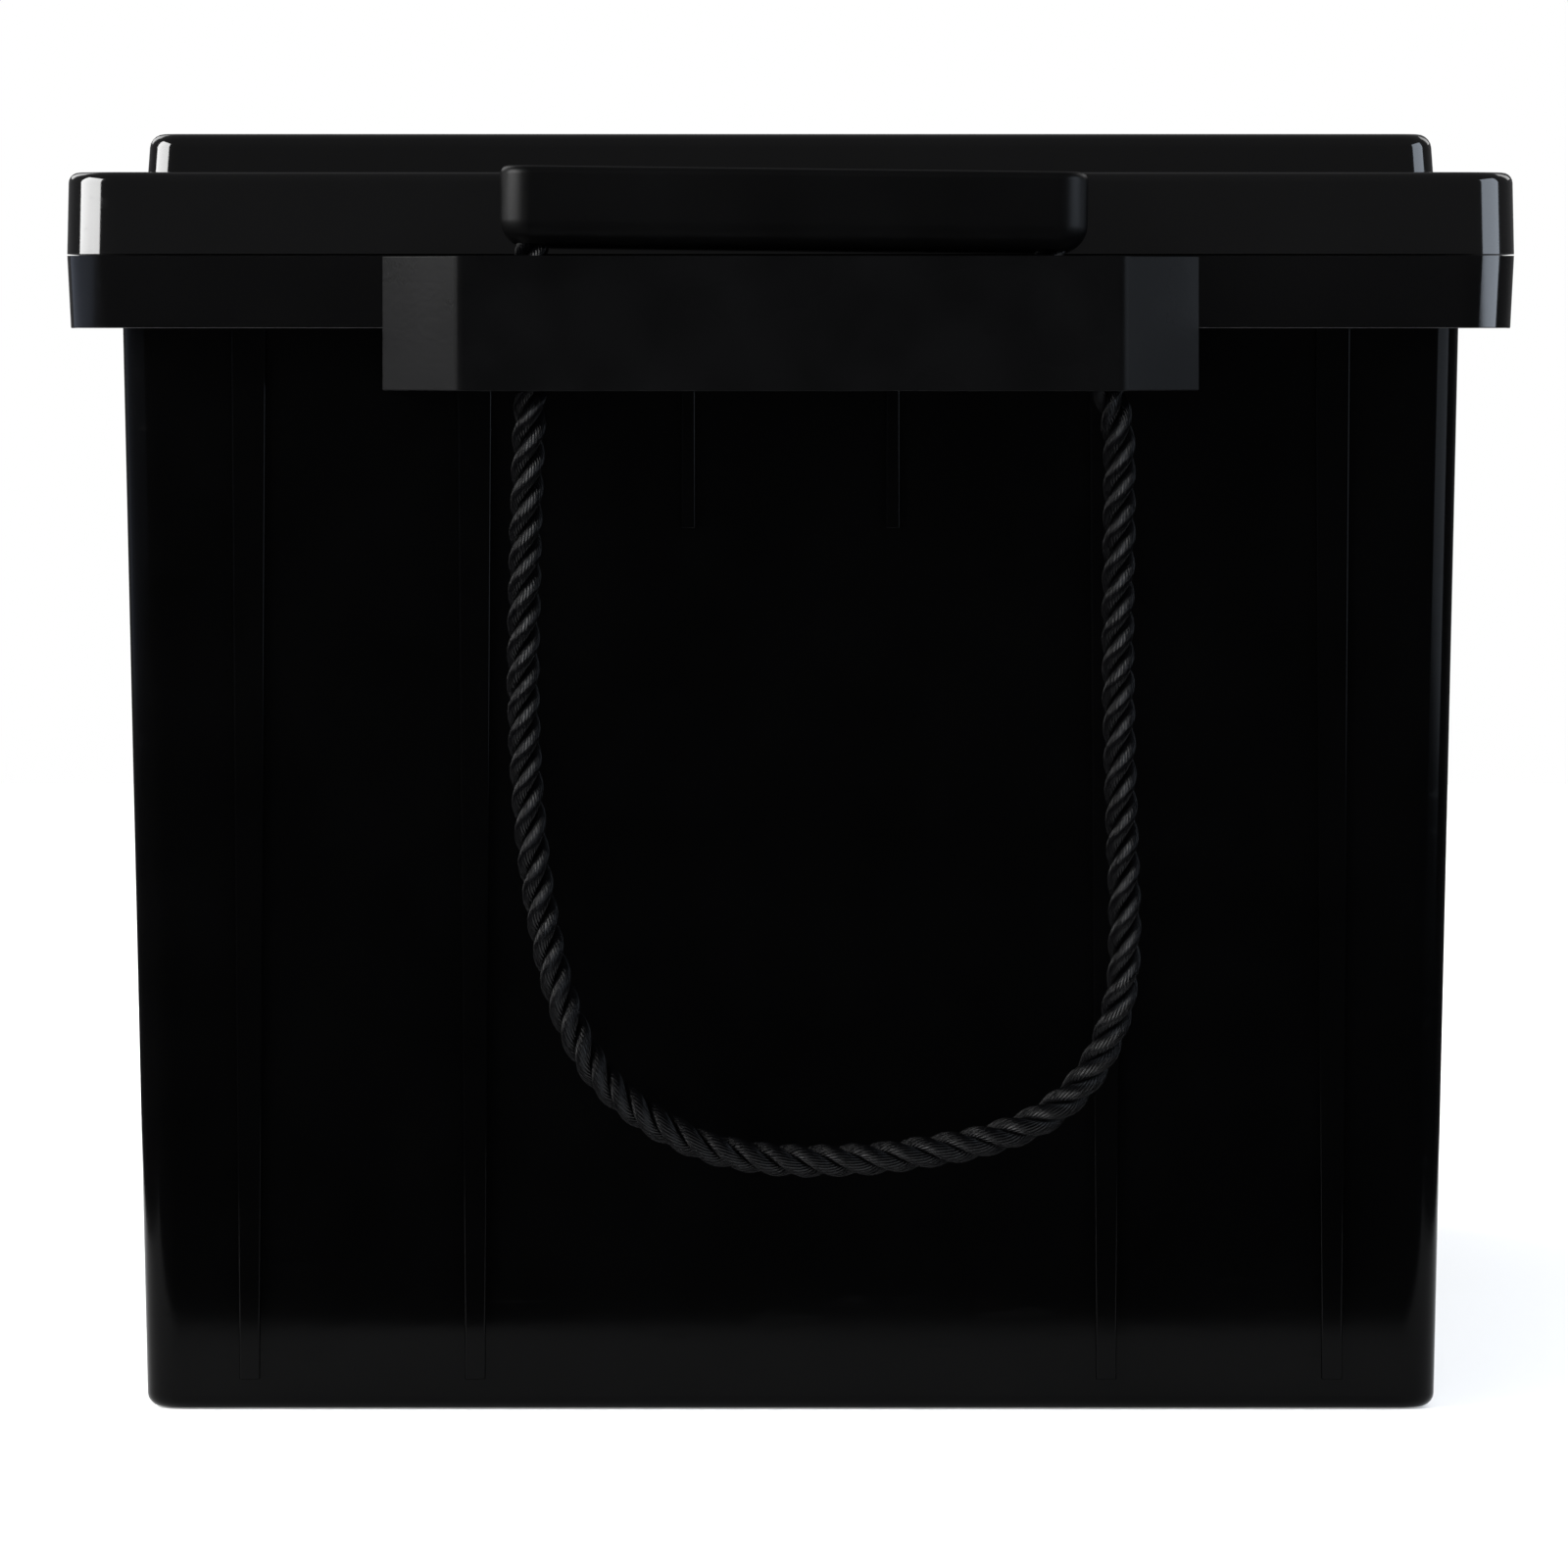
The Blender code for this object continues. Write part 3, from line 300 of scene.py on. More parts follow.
def make_world():
    """A pale surround for the eye, and a dim studio room, darker low down, for the reflections."""
    world = bpy.data.worlds.new("studio")
    world.use_nodes = True
    bpy.context.scene.world = world
    tree = world.node_tree
    tree.nodes.clear()
    output = tree.nodes.new("ShaderNodeOutputWorld")
    mix = tree.nodes.new("ShaderNodeMixShader")
    path = tree.nodes.new("ShaderNodeLightPath")
    seen = tree.nodes.new("ShaderNodeBackground")
    seen.inputs["Color"].default_value = (1, 1, 1, 1)
    room = tree.nodes.new("ShaderNodeBackground")
    coords = tree.nodes.new("ShaderNodeTexCoord")
    split = tree.nodes.new("ShaderNodeSeparateXYZ")
    ramp = tree.nodes.new("ShaderNodeValToRGB")
    low, level = ramp.color_ramp.elements
    low.position, low.color = ROOM_LOW
    level.position, level.color = ROOM_LEVEL
    overhead = ramp.color_ramp.elements.new(ROOM_OVERHEAD[0])
    overhead.color = ROOM_OVERHEAD[1]
    half = tree.nodes.new("ShaderNodeMapRange")
    half.inputs["From Min"].default_value = -1
    tree.links.new(coords.outputs["Generated"], split.inputs[0])
    tree.links.new(split.outputs["Z"], half.inputs["Value"])
    tree.links.new(half.outputs["Result"], ramp.inputs["Fac"])
    tree.links.new(ramp.outputs["Color"], room.inputs["Color"])
    tree.links.new(path.outputs["Is Camera Ray"], mix.inputs["Fac"])
    tree.links.new(room.outputs[0], mix.inputs[1])
    tree.links.new(seen.outputs[0], mix.inputs[2])
    tree.links.new(mix.outputs[0], output.inputs["Surface"])


# ---- materials ---------------------------------------------------------------------------------------
class Finish:
    """A Principled material with helpers that add noise-driven colour, roughness and bump."""

    def __init__(self, name, metallic=0.0, ior=1.5, specular=0.5):
        self.material = bpy.data.materials.new(name)
        self.material.use_nodes = True
        self.tree = self.material.node_tree
        self.shader = self.tree.nodes["Principled BSDF"]
        self.shader.inputs["Metallic"].default_value = metallic
        self.shader.inputs["IOR"].default_value = ior
        self.shader.inputs["Specular IOR Level"].default_value = specular
        self.coords = self.tree.nodes.new("ShaderNodeTexCoord")
        self.last_bump = None

    def place(self, scale=(1, 1, 1), source="Object"):
        mapping = self.tree.nodes.new("ShaderNodeMapping")
        mapping.inputs["Scale"].default_value = scale
        self.tree.links.new(self.coords.outputs[source], mapping.inputs["Vector"])
        return mapping.outputs["Vector"]

    def noise(self, scale, detail=3.0, stretch=(1, 1, 1), source="Object", roughness=0.5):
        node = self.tree.nodes.new("ShaderNodeTexNoise")
        node.inputs["Scale"].default_value = scale
        node.inputs["Detail"].default_value = detail
        node.inputs["Roughness"].default_value = roughness
        self.tree.links.new(self.place(stretch, source), node.inputs["Vector"])
        return node.outputs["Fac"]

    def spread(self, value, low, high, from_low=0.3, from_high=0.7):
        node = self.tree.nodes.new("ShaderNodeMapRange")
        node.inputs["From Min"].default_value = from_low
        node.inputs["From Max"].default_value = from_high
        node.inputs["To Min"].default_value = low
        node.inputs["To Max"].default_value = high
        self.tree.links.new(value, node.inputs["Value"])
        return node.outputs["Result"]

    def blend(self, value, first, second):
        node = self.tree.nodes.new("ShaderNodeMix")
        node.data_type = "RGBA"
        node.inputs["A"].default_value = (*first, 1)
        node.inputs["B"].default_value = (*second, 1)
        self.tree.links.new(value, node.inputs["Factor"])
        return node.outputs["Result"]

    def add(self, first, second):
        node = self.tree.nodes.new("ShaderNodeMath")
        node.operation = "ADD"
        self.tree.links.new(first, node.inputs[0])
        self.tree.links.new(second, node.inputs[1])
        return node.outputs[0]

    def ripple(self, count):
        """Soft ridges, so many round a strand, along the lines of constant V."""
        split = self.tree.nodes.new("ShaderNodeSeparateXYZ")
        self.tree.links.new(self.coords.outputs["UV"], split.inputs[0])
        turn = self.tree.nodes.new("ShaderNodeMath")
        turn.operation = "MULTIPLY"
        turn.inputs[1].default_value = math.tau * count
        self.tree.links.new(split.outputs["Y"], turn.inputs[0])
        wave = self.tree.nodes.new("ShaderNodeMath")
        wave.operation = "SINE"
        self.tree.links.new(turn.outputs[0], wave.inputs[0])
        return wave.outputs[0]

    def colour(self, value):
        self.tree.links.new(value, self.shader.inputs["Base Color"])
        return self

    def roughness(self, value):
        self.tree.links.new(value, self.shader.inputs["Roughness"])
        return self

    def bump(self, height, distance, strength=1.0):
        node = self.tree.nodes.new("ShaderNodeBump")
        node.inputs["Strength"].default_value = strength
        node.inputs["Distance"].default_value = distance
        self.tree.links.new(height, node.inputs["Height"])
        if self.last_bump:
            self.tree.links.new(self.last_bump.outputs["Normal"], node.inputs["Normal"])
        self.last_bump = node
        self.tree.links.new(node.outputs["Normal"], self.shader.inputs["Normal"])
        return self

    def socket(self, name, value):
        self.shader.inputs[name].default_value = value
        return self


def tint(tone, amount):
    return (tone * amount, tone * amount, tone * amount * 1.05)


def gloss_plastic(name, tone, specular, rough):
    """Black moulded polypropylene: glossy, with flow marks, faint scuffs and a soft orange peel."""
    finish = Finish(name, specular=specular)
    flow = finish.noise(9, 4, (1, 1, 0.35))
    cloud = finish.noise(38, 5, roughness=0.6)
    scuff = finish.noise(420, 2, (0.12, 1, 1))
    finish.colour(finish.blend(finish.spread(cloud, 0, 1), tint(tone, 0.75), tint(tone, 1.25)))
    base = finish.spread(flow, rough - 0.02, rough + 0.03)
    marks = finish.spread(scuff, 0.0, 0.08, 0.62, 0.80)
    finish.roughness(finish.add(base, marks))
    finish.bump(finish.noise(170, 2), 0.00002, 0.20)
    finish.bump(finish.noise(16, 2), 0.0003, 0.06)
    return finish.material


def satin_plastic(name, tone, specular, grain, rough):
    """The same plastic from a finely etched mould face."""
    finish = Finish(name, specular=specular)
    cloud = finish.noise(60, 4)
    finish.colour(finish.blend(finish.spread(cloud, 0, 1), tint(tone, 0.75), tint(tone, 1.25)))
    finish.roughness(finish.spread(finish.noise(24, 3), rough - 0.05, rough + 0.06))
    finish.bump(finish.noise(grain, 2), 0.00005, 0.25)
    return finish.material


def rope_fibre():
    """Black polypropylene yarn: U runs along the strand in metres, V once round it, following the yarns."""
    finish = Finish("rope_fibre", specular=0.10)
    fibres = finish.noise(1.0, 3, (130, 60, 1), "UV", 0.65)
    bundle = finish.noise(1.0, 2, (60, 8, 1), "UV")
    yarns = finish.ripple(STRAND_YARNS)
    shade = finish.spread(fibres, 0, 1)
    finish.colour(finish.blend(shade, (0.0002, 0.0002, 0.0003), (0.0016, 0.0016, 0.0019)))
    finish.roughness(finish.spread(bundle, 0.15, 0.27))
    finish.bump(yarns, 0.00016, 0.7)
    finish.bump(fibres, 0.00012, 0.7)
    return finish.material


def cast_metal(name, first, second, rough, bump):
    finish = Finish(name, metallic=1.0)
    grains = finish.noise(160, 5, roughness=0.6)
    finish.colour(finish.blend(finish.spread(grains, 0, 1), first, second))
    finish.roughness(finish.spread(finish.noise(70, 4), rough - 0.10, rough + 0.12))
    finish.bump(grains, bump, 0.5)
    return finish.material


def porous(name, first, second, scale, rough, bump):
    """Plate paste, glass mat, felt or rubber: a dull surface with fine pores."""
    finish = Finish(name, specular=0.30)
    pores = finish.noise(scale, 5, roughness=0.65)
    finish.colour(finish.blend(finish.spread(pores, 0, 1), first, second))
    finish.roughness(finish.spread(finish.noise(scale / 3, 2), rough - 0.06, rough + 0.04))
    finish.bump(pores, bump, 0.6)
    return finish.material


def make_materials():
    return {
        # case_plastic and rim_plastic are two copies of one moulding's plastic. The wall's copy is darker and
        # reflects far less than the rim's: painted shade that keeps the wall darker than the rim.
        "case_plastic": gloss_plastic("case_plastic", 0.0006, 0.038, 0.10),
        "rim_plastic": gloss_plastic("rim_plastic", 0.0010, 0.50, 0.085),
        "lid_plastic": gloss_plastic("lid_plastic", 0.0006, 0.50, 0.085),
        "lug_plastic": satin_plastic("lug_plastic", 0.0020, 0.034, 900, 0.26),
        "grip_plastic": satin_plastic("grip_plastic", 0.0010, 0.090, 1300, 0.38),
        "rope_fibre": rope_fibre(),
        "lead": cast_metal("lead", (0.16, 0.165, 0.18), (0.34, 0.35, 0.37), 0.46, 0.0002),
        "bolt_steel": cast_metal("bolt_steel", (0.46, 0.46, 0.47), (0.62, 0.62, 0.63), 0.26, 0.00002),
        "brass": cast_metal("brass", (0.62, 0.41, 0.16), (0.78, 0.56, 0.26), 0.30, 0.00002),
        "positive_paste": porous("positive_paste", (0.05, 0.02, 0.011), (0.11, 0.05, 0.03), 260, 0.86,
                                 0.0004),
        "negative_paste": porous("negative_paste", (0.13, 0.135, 0.14), (0.24, 0.25, 0.26), 260, 0.8, 0.0004),
        "glass_mat": porous("glass_mat", (0.66, 0.66, 0.63), (0.86, 0.86, 0.83), 420, 0.93, 0.0005),
        "seal_rubber": porous("seal_rubber", (0.010, 0.010, 0.010), (0.022, 0.022, 0.021), 300, 0.62, 0.0001),
        "filter_felt": porous("filter_felt", (0.46, 0.46, 0.44), (0.68, 0.68, 0.66), 520, 0.92, 0.0004),
    }


# ---- mesh helpers --------------------------------------------------------------------------------------
def new_object(name, mesh, materials=()):
    obj = bpy.data.objects.new(name, mesh)
    bpy.context.scene.collection.objects.link(obj)
    for material in materials:
        mesh.materials.append(material)
    return obj


def mesh_from(bm, name):
    mesh = bpy.data.meshes.new(name)
    bm.to_mesh(mesh)
    bm.free()
    return mesh


def face_outward(bm):
    bm.normal_update()
    bmesh.ops.recalc_face_normals(bm, faces=bm.faces)


def bevel_edges(bm, edges, radius, steps):
    bmesh.ops.bevel(
        bm, geom=edges, offset=radius, offset_type="OFFSET", segments=steps, profile=0.5, affect="EDGES"
    )


def is_upright(edge):
    return abs(edge.verts[0].co.z - edge.verts[1].co.z) > 1e-5


def level_edges(bm, z):
    return [e for e in bm.edges if all(abs(v.co.z - z) < 1e-6 for v in e.verts)]


def tapered_block(name, z_low, half_low, z_high, half_high, corner, low_edge=0.0, high_edge=0.0,
                  steps=FINE_STEPS):
    """A four-sided block centred on Z, with its own half sizes at each end and rounded corners."""
    bm = bmesh.new()
    bmesh.ops.create_cube(bm, size=2)
    for vert in bm.verts:
        half = half_high if vert.co.z > 0 else half_low
        height = z_high if vert.co.z > 0 else z_low
        vert.co = Vector((vert.co.x * half[0], vert.co.y * half[1], height))
    if corner:
        bevel_edges(bm, [e for e in bm.edges if is_upright(e)], corner, steps)
    if low_edge:
        bevel_edges(bm, level_edges(bm, z_low), low_edge, EDGE_ROUND_STEPS)
    if high_edge:
        bevel_edges(bm, level_edges(bm, z_high), high_edge, EDGE_ROUND_STEPS)
    face_outward(bm)
    return new_object(name, mesh_from(bm, name))


def box_tool(name, low, high, rounding=0.0):
    """A box between two corners given in any order, with rounded upright edges if asked."""
    lower = Vector([min(a, b) for a, b in zip(low, high)])
    upper = Vector([max(a, b) for a, b in zip(low, high)])
    middle = (lower + upper) / 2
    half = (upper - lower) / 2
    tool = tapered_block(name, -half.z, half[:2], half.z, half[:2], rounding, steps=TOOL_STEPS)
    tool.data.transform(Matrix.Translation(middle))
    return tool


def disc(name, radius, z_low, z_high, steps=ROUND_STEPS):
    bm = bmesh.new()
    bmesh.ops.create_cone(
        bm, cap_ends=True, segments=steps, radius1=radius, radius2=radius, depth=z_high - z_low
    )
    bmesh.ops.translate(bm, vec=(0, 0, (z_low + z_high) / 2), verts=bm.verts)
    return new_object(name, mesh_from(bm, name))


def turned(name, profile, steps=ROUND_STEPS):
    """Turn an outline of (radius, height) points round Z; it runs down on its outer side."""
    bm = bmesh.new()
    verts = [bm.verts.new((radius, 0, z)) for radius, z in profile]
    for first, second in zip(verts, verts[1:]):
        bm.edges.new((first, second))
    bmesh.ops.spin(bm, geom=bm.verts[:] + bm.edges[:], cent=(0, 0, 0), axis=(0, 0, 1), angle=math.tau,
                   steps=steps, use_merge=True)
    bmesh.ops.remove_doubles(bm, verts=bm.verts, dist=1e-6)
    face_outward(bm)
    return new_object(name, mesh_from(bm, name))


def combine(obj, steps):
    """Apply a list of (tool, operation) Booleans and remove the tools."""
    for tool, operation in steps:
        modifier = obj.modifiers.new(tool.name, "BOOLEAN")
        modifier.operation = operation
        modifier.object = tool
        modifier.solver = "EXACT"
    bpy.context.view_layer.update()
    evaluated = obj.evaluated_get(bpy.context.evaluated_depsgraph_get())
    mesh = bpy.data.meshes.new_from_object(evaluated)
    obj.modifiers.clear()
    obj.data = mesh
    for tool, _ in steps:
        bpy.data.objects.remove(tool, do_unlink=True)
    return obj


def smooth(obj):
    """Smooth shading with sharp creases, and flat faces that stay flat beside their fillets."""
    obj.data.shade_smooth()
    obj.data.set_sharp_from_angle(angle=SHARP_ANGLE)
    modifier = obj.modifiers.new("face_weighted", "WEIGHTED_NORMAL")
    modifier.keep_sharp = True
    return obj


def finish_piece(obj, body, slot, *nodes):
    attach(obj, body)
    if nodes:
        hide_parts(*nodes)
    return obj


# ---- rope ------------------------------------------------------------------------------------------------
def smooth_line(points, spacing):
    """Points at even steps along a Catmull-Rom curve through the given ones."""
    points = [np.array(p, float) for p in points]
    ends = [2 * points[0] - points[1], *points, 2 * points[-1] - points[-2]]
    fine = []
    for before, start, stop, after in zip(ends, ends[1:], ends[2:], ends[3:]):
        for t in np.linspace(0, 1, CURVE_PIECES, endpoint=False):
            fine.append(0.5 * (2 * start + (stop - before) * t
                               + (2 * before - 5 * start + 4 * stop - after) * t * t
                               + (3 * start - before - 3 * stop + after) * t ** 3))
    fine = np.array([*fine, points[-1]])
    lengths = np.concatenate([[0], np.cumsum(np.linalg.norm(np.diff(fine, axis=0), axis=1))])
    steps = np.linspace(0, lengths[-1], round(lengths[-1] / spacing) + 1)
    return np.stack([np.interp(steps, lengths, fine[:, k]) for k in range(3)], axis=1), steps


def uneven(wave, along, number):
    """A factor that wavers along the rope, in its own way for each strand."""
    size, rate, shift = wave
    return 1 + size * np.sin(along * rate + shift * number)


def make_rope(word, end, material):
    """Three strands laid to the right round the handle's line, slightly uneven as real ones are."""
    route = [(-end * x, HANDLE_OUT * end, z) for x, z in ROPE_ROUTE]
    line, along = smooth_line(route, ROPE_STEP)
    tangent = np.gradient(line, axis=0)
    tangent /= np.linalg.norm(tangent, axis=1)[:, None]
    normal = np.tile([0.0, -1.0, 0.0], (len(line), 1))
    binormal = np.cross(tangent, normal)

    strand = ROPE_DIAMETER / 2 / (1 + 2 / math.sqrt(3))
    offset = strand * 2 / math.sqrt(3)
    turn_rate = math.tau / ROPE_LAY
    wander = sum(size * np.sin(along * rate + start) for size, rate, start in LAY_WANDER)
    theta = np.arange(STRAND_SIDES) * math.tau / STRAND_SIDES
    verts, faces, uvs = [], [], []
    for number in range(STRANDS):
        phase = along * turn_rate + number * math.tau / STRANDS + wander
        outward = np.cos(phase)[:, None] * normal + np.sin(phase)[:, None] * binormal
        around = -np.sin(phase)[:, None] * normal + np.cos(phase)[:, None] * binormal
        swell = uneven(STRAND_SWELL, along, number)
        centre = line + outward * (offset * swell)[:, None]
        heading = tangent + around * offset * turn_rate
        heading /= np.linalg.norm(heading, axis=1)[:, None]
        side = np.cross(heading, outward)
        yarn_turn = along * YARN_TWIST
        radius = strand * uneven(YARN_SWELL, along, number)
        rings = (centre[:, None, :]
                 + (radius[:, None] * np.cos(theta))[..., None] * outward[:, None, :]
                 + (radius[:, None] * np.sin(theta))[..., None] * side[:, None, :])
        base = len(verts)
        verts.extend(rings.reshape(-1, 3).tolist())
        for ring in range(len(line) - 1):
            for k in range(STRAND_SIDES):
                after = (k + 1) % STRAND_SIDES
                row, above = base + ring * STRAND_SIDES, base + (ring + 1) * STRAND_SIDES
                faces.append((row + k, row + after, above + after, above + k))
                v = ((k, k + 1, k + 1, k), (0, 0, 1, 1))
                twist = [yarn_turn[ring + step] / math.tau for step in v[1]]
                uvs.extend((float(along[ring + step]), side_k / STRAND_SIDES + shift)
                           for side_k, step, shift in zip(v[0], v[1], twist))
        for ring in (0, len(line) - 1):
            cap = [base + ring * STRAND_SIDES + k for k in range(STRAND_SIDES)]
            faces.append(tuple(cap[::-1] if ring == 0 else cap))
            uvs.extend((0.0, 0.0) for _ in cap)
    mesh = bpy.data.meshes.new(f"rope_{word}_strands")
    mesh.from_pydata(verts, [], faces)
    layer = mesh.uv_layers.new(name="UVMap")
    layer.data.foreach_set("uv", np.array(uvs, np.float32).ravel())
    mesh.shade_smooth()
    rope = new_object(f"rope_{word}_strands", mesh, [material])
    finish_piece(rope, f"handle_{word}", "rope_fibre", f"rope_{word}")


# ---- grips -----------------------------------------------------------------------------------------------
def make_grip(word, end, material):
    """A rounded bar with two sockets for the rope's ends."""
    low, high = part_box(f"grip_{word}")
    middle = (low + high) / 2
    half = (GRIP_LENGTH / 2, GRIP_DEPTH / 2)
    grip = tapered_block(f"grip_{word}_moulding", -GRIP_HEIGHT / 2, half, GRIP_HEIGHT / 2, half,
                         GRIP_END_RADIUS, GRIP_LOW_EDGE, GRIP_HIGH_EDGE)
    grip.data.materials.append(material)
    tilt = Matrix.Rotation(GRIP_TILT * -end, 4, "Y")
    grip.data.transform(Matrix.Translation(middle) @ tilt)
    sockets = []
    for side in (-1, 1):
        socket = disc(f"socket_{word}_{side}", ROPE_DIAMETER / 2 + SOCKET_PLAY, SEAM_Z - CUT_SPARE,
                      SEAM_Z + SOCKET_DEPTH, SOCKET_STEPS)
        socket.data.transform(Matrix.Translation((side * ROPE_END_X, end * HANDLE_OUT, 0)))
        sockets.append((socket, "DIFFERENCE"))
    combine(grip, sockets)
    smooth(grip)
    finish_piece(grip, f"handle_{word}", "grip_plastic", f"grip_{word}")


# ---- container -------------------------------------------------------------------------------------------
def wall_half(axis, z):
    top = (RIM_HALF_X, RIM_HALF_Y)[axis] - WALL_SETBACK
    return top - WALL_DRAFT * (RIM_BOTTOM_Z - z) / RIM_BOTTOM_Z


def wall_rib(name, axis, end, offset, z_low, z_high, width_low, width_high):
    """A rib that stands on the wall facing the given axis and follows its draft, with soft edges."""
    bm = bmesh.new()
    bmesh.ops.create_cube(bm, size=2)
    front = []
    for vert in bm.verts:
        upper = vert.co.z > 0
        z = z_high if upper else z_low
        across = offset + vert.co.x * (width_high if upper else width_low) / 2
        if vert.co.y > 0:
            front.append(vert)
        outward = wall_half(axis, z) + (RIB_PROUD if vert.co.y > 0 else -WALL_THICK / 2)
        vert.co = Vector((across, outward * end, z) if axis else (outward * end, across, z))
    edges = [e for e in bm.edges if all(v in front for v in e.verts)]
    face_outward(bm)
    bevel_edges(bm, edges, RIB_EDGE, SMALL_EDGE_STEPS)
    face_outward(bm)
    return new_object(name, mesh_from(bm, name))


def lug_tool(name, end):
    """The trapezoid lug with soft edges, from its flat face back into the wall."""
    root_y = wall_half(1, LUG_BOTTOM_Z) - WALL_THICK / 3
    outline = (
        (-LUG_BASE_X, root_y),
        (-LUG_BASE_X, RIM_HALF_Y),
        (-LUG_FACE_X, LUG_FACE_Y),
        (LUG_FACE_X, LUG_FACE_Y),
        (LUG_BASE_X, RIM_HALF_Y),
        (LUG_BASE_X, root_y),
    )
    bm = bmesh.new()
    low = [bm.verts.new((x, y * end, LUG_BOTTOM_Z)) for x, y in outline]
    high = [bm.verts.new((x, y * end, CONTAINER_TOP_Z - LUG_TOP_DROP)) for x, y in outline]
    bm.faces.new(low)
    bm.faces.new(high[::-1])
    count = len(outline)
    for k in range(count):
        after = (k + 1) % count
        bm.faces.new((low[k], high[k], high[after], low[after]))
    face_outward(bm)
    bevel_edges(bm, [e for e in bm.edges if is_upright(e) and abs(e.verts[0].co.y) > LUG_FACE_Y - MERGE],
                LUG_SIDE_EDGE, EDGE_ROUND_STEPS)
    edges = [e for e in bm.edges if not is_upright(e) and max(abs(v.co.y) for v in e.verts) > root_y + MERGE]
    bevel_edges(bm, edges, LUG_EDGE, SMALL_EDGE_STEPS)
    face_outward(bm)
    return new_object(name, mesh_from(bm, name))


def paint_tool(tool, materials, index):
    """Give a joining or cutting tool the main piece's materials, and all its faces one of them."""
    for material in materials:
        tool.data.materials.append(material)
    for face in tool.data.polygons:
        face.material_index = index


def cell_rows(outer):
    """Y range of each row of cells, given where the outer ones end."""
    inner = PARTITION_Y + PARTITION_THICK / 2
    middle = PARTITION_Y - PARTITION_THICK / 2
    return {-1: (-outer, -inner), 0: (-middle, middle), 1: (inner, outer)}


def cell_tool(side, row):
    """The hollow of one cell, with the wall's draft on its outer faces."""
    bm = bmesh.new()
    bmesh.ops.create_cube(bm, size=2)
    for vert in bm.verts:
        z = SEAM_Z + CUT_SPARE / 2 if vert.co.z > 0 else FLOOR_THICK
        y_range = cell_rows(wall_half(1, min(z, SEAM_Z)) - WALL_THICK)[row]
        x_range = (PARTITION_THICK / 2, wall_half(0, min(z, SEAM_Z)) - WALL_THICK)
        vert.co = Vector((side * x_range[int(vert.co.x > 0)], y_range[int(vert.co.y > 0)], z))
    face_outward(bm)
    return new_object(f"cell_{side}_{row}", mesh_from(bm, f"cell_{side}_{row}"))


def weld_hole(number):
    """The hole in a partition round one weld."""
    low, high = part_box(f"intercell_weld_{number}")
    middle, size = (low + high) / 2, high - low
    hole = disc(f"weld_hole_{number}", size.z / 2 + 2 * GAP, -PARTITION_THICK, PARTITION_THICK, SOCKET_STEPS)
    turn = Matrix.Rotation(math.pi / 2, 4, "Y" if size.x < size.y else "X")
    hole.data.transform(Matrix.Translation(middle) @ turn)
    return hole


def make_container(materials):
    top = RIM_BOTTOM_Z + WALL_INTO_RIM
    wall = tapered_block("container_moulding", 0, (wall_half(0, 0), wall_half(1, 0)),
                         top, (wall_half(0, top), wall_half(1, top)), WALL_CORNER, BOTTOM_EDGE)
    finishes = [materials["case_plastic"], materials["rim_plastic"], materials["lug_plastic"]]
    paint_tool(wall, finishes, 0)
    rim_low = (RIM_HALF_X - RIM_TAPER, RIM_HALF_Y - RIM_TAPER)
    rim = tapered_block("rim", RIM_BOTTOM_Z, rim_low, CONTAINER_TOP_Z, (RIM_HALF_X, RIM_HALF_Y), RIM_CORNER,
                        RIM_EDGE)
    paint_tool(rim, finishes, 1)
    steps = [(rim, "UNION")]
    for end in (-1, 1):
        for side in (-1, 1):
            for number, offset in enumerate(END_RIBS):
                steps.append((wall_rib(f"end_rib_{end}_{side}_{number}", 1, end, side * offset, RIB_FOOT_Z,
                                       RIM_BOTTOM_Z + JOIN_DEPTH, RIB_BOTTOM_WIDTH, RIB_TOP_WIDTH), "UNION"))
            for number, offset in enumerate(SIDE_RIBS):
                steps.append((wall_rib(f"side_rib_{end}_{side}_{number}", 0, end, side * offset, RIB_FOOT_Z,
                                       RIM_BOTTOM_Z + JOIN_DEPTH, RIB_BOTTOM_WIDTH, RIB_TOP_WIDTH), "UNION"))
            steps.append((wall_rib(f"short_rib_{end}_{side}", 1, end, side * SHORT_RIB_X,
                                   LUG_BOTTOM_Z - SHORT_RIB_DROP, LUG_BOTTOM_Z + JOIN_DEPTH,
                                   SHORT_RIB_WIDTH, SHORT_RIB_WIDTH), "UNION"))
    for end in (-1, 1):
        lug = lug_tool(f"lug_{end}", end)
        paint_tool(lug, finishes, 2)
        steps.append((lug, "UNION"))
    for side in (-1, 1):
        for row in (-1, 0, 1):
            steps.append((cell_tool(side, row), "DIFFERENCE"))
    for number in range(1, 6):
        steps.append((weld_hole(number), "DIFFERENCE"))
    for end in (-1, 1):
        for side in (-1, 1):
            slot = box_tool(
                f"slot_{end}_{side}",
                (side * SLOT_INNER_X, end * HANDLE_OUT - SLOT_WIDE / 2, LUG_BOTTOM_Z - CUT_SPARE),
                (side * SLOT_OUTER_X, end * HANDLE_OUT + SLOT_WIDE / 2, SEAM_Z + CUT_SPARE),
                SLOT_CORNER,
            )
            paint_tool(slot, finishes, 2)
            steps.append((slot, "DIFFERENCE"))
    combine(wall, steps)
    smooth(wall)
    finish_piece(wall, "case", "case_plastic", "container")


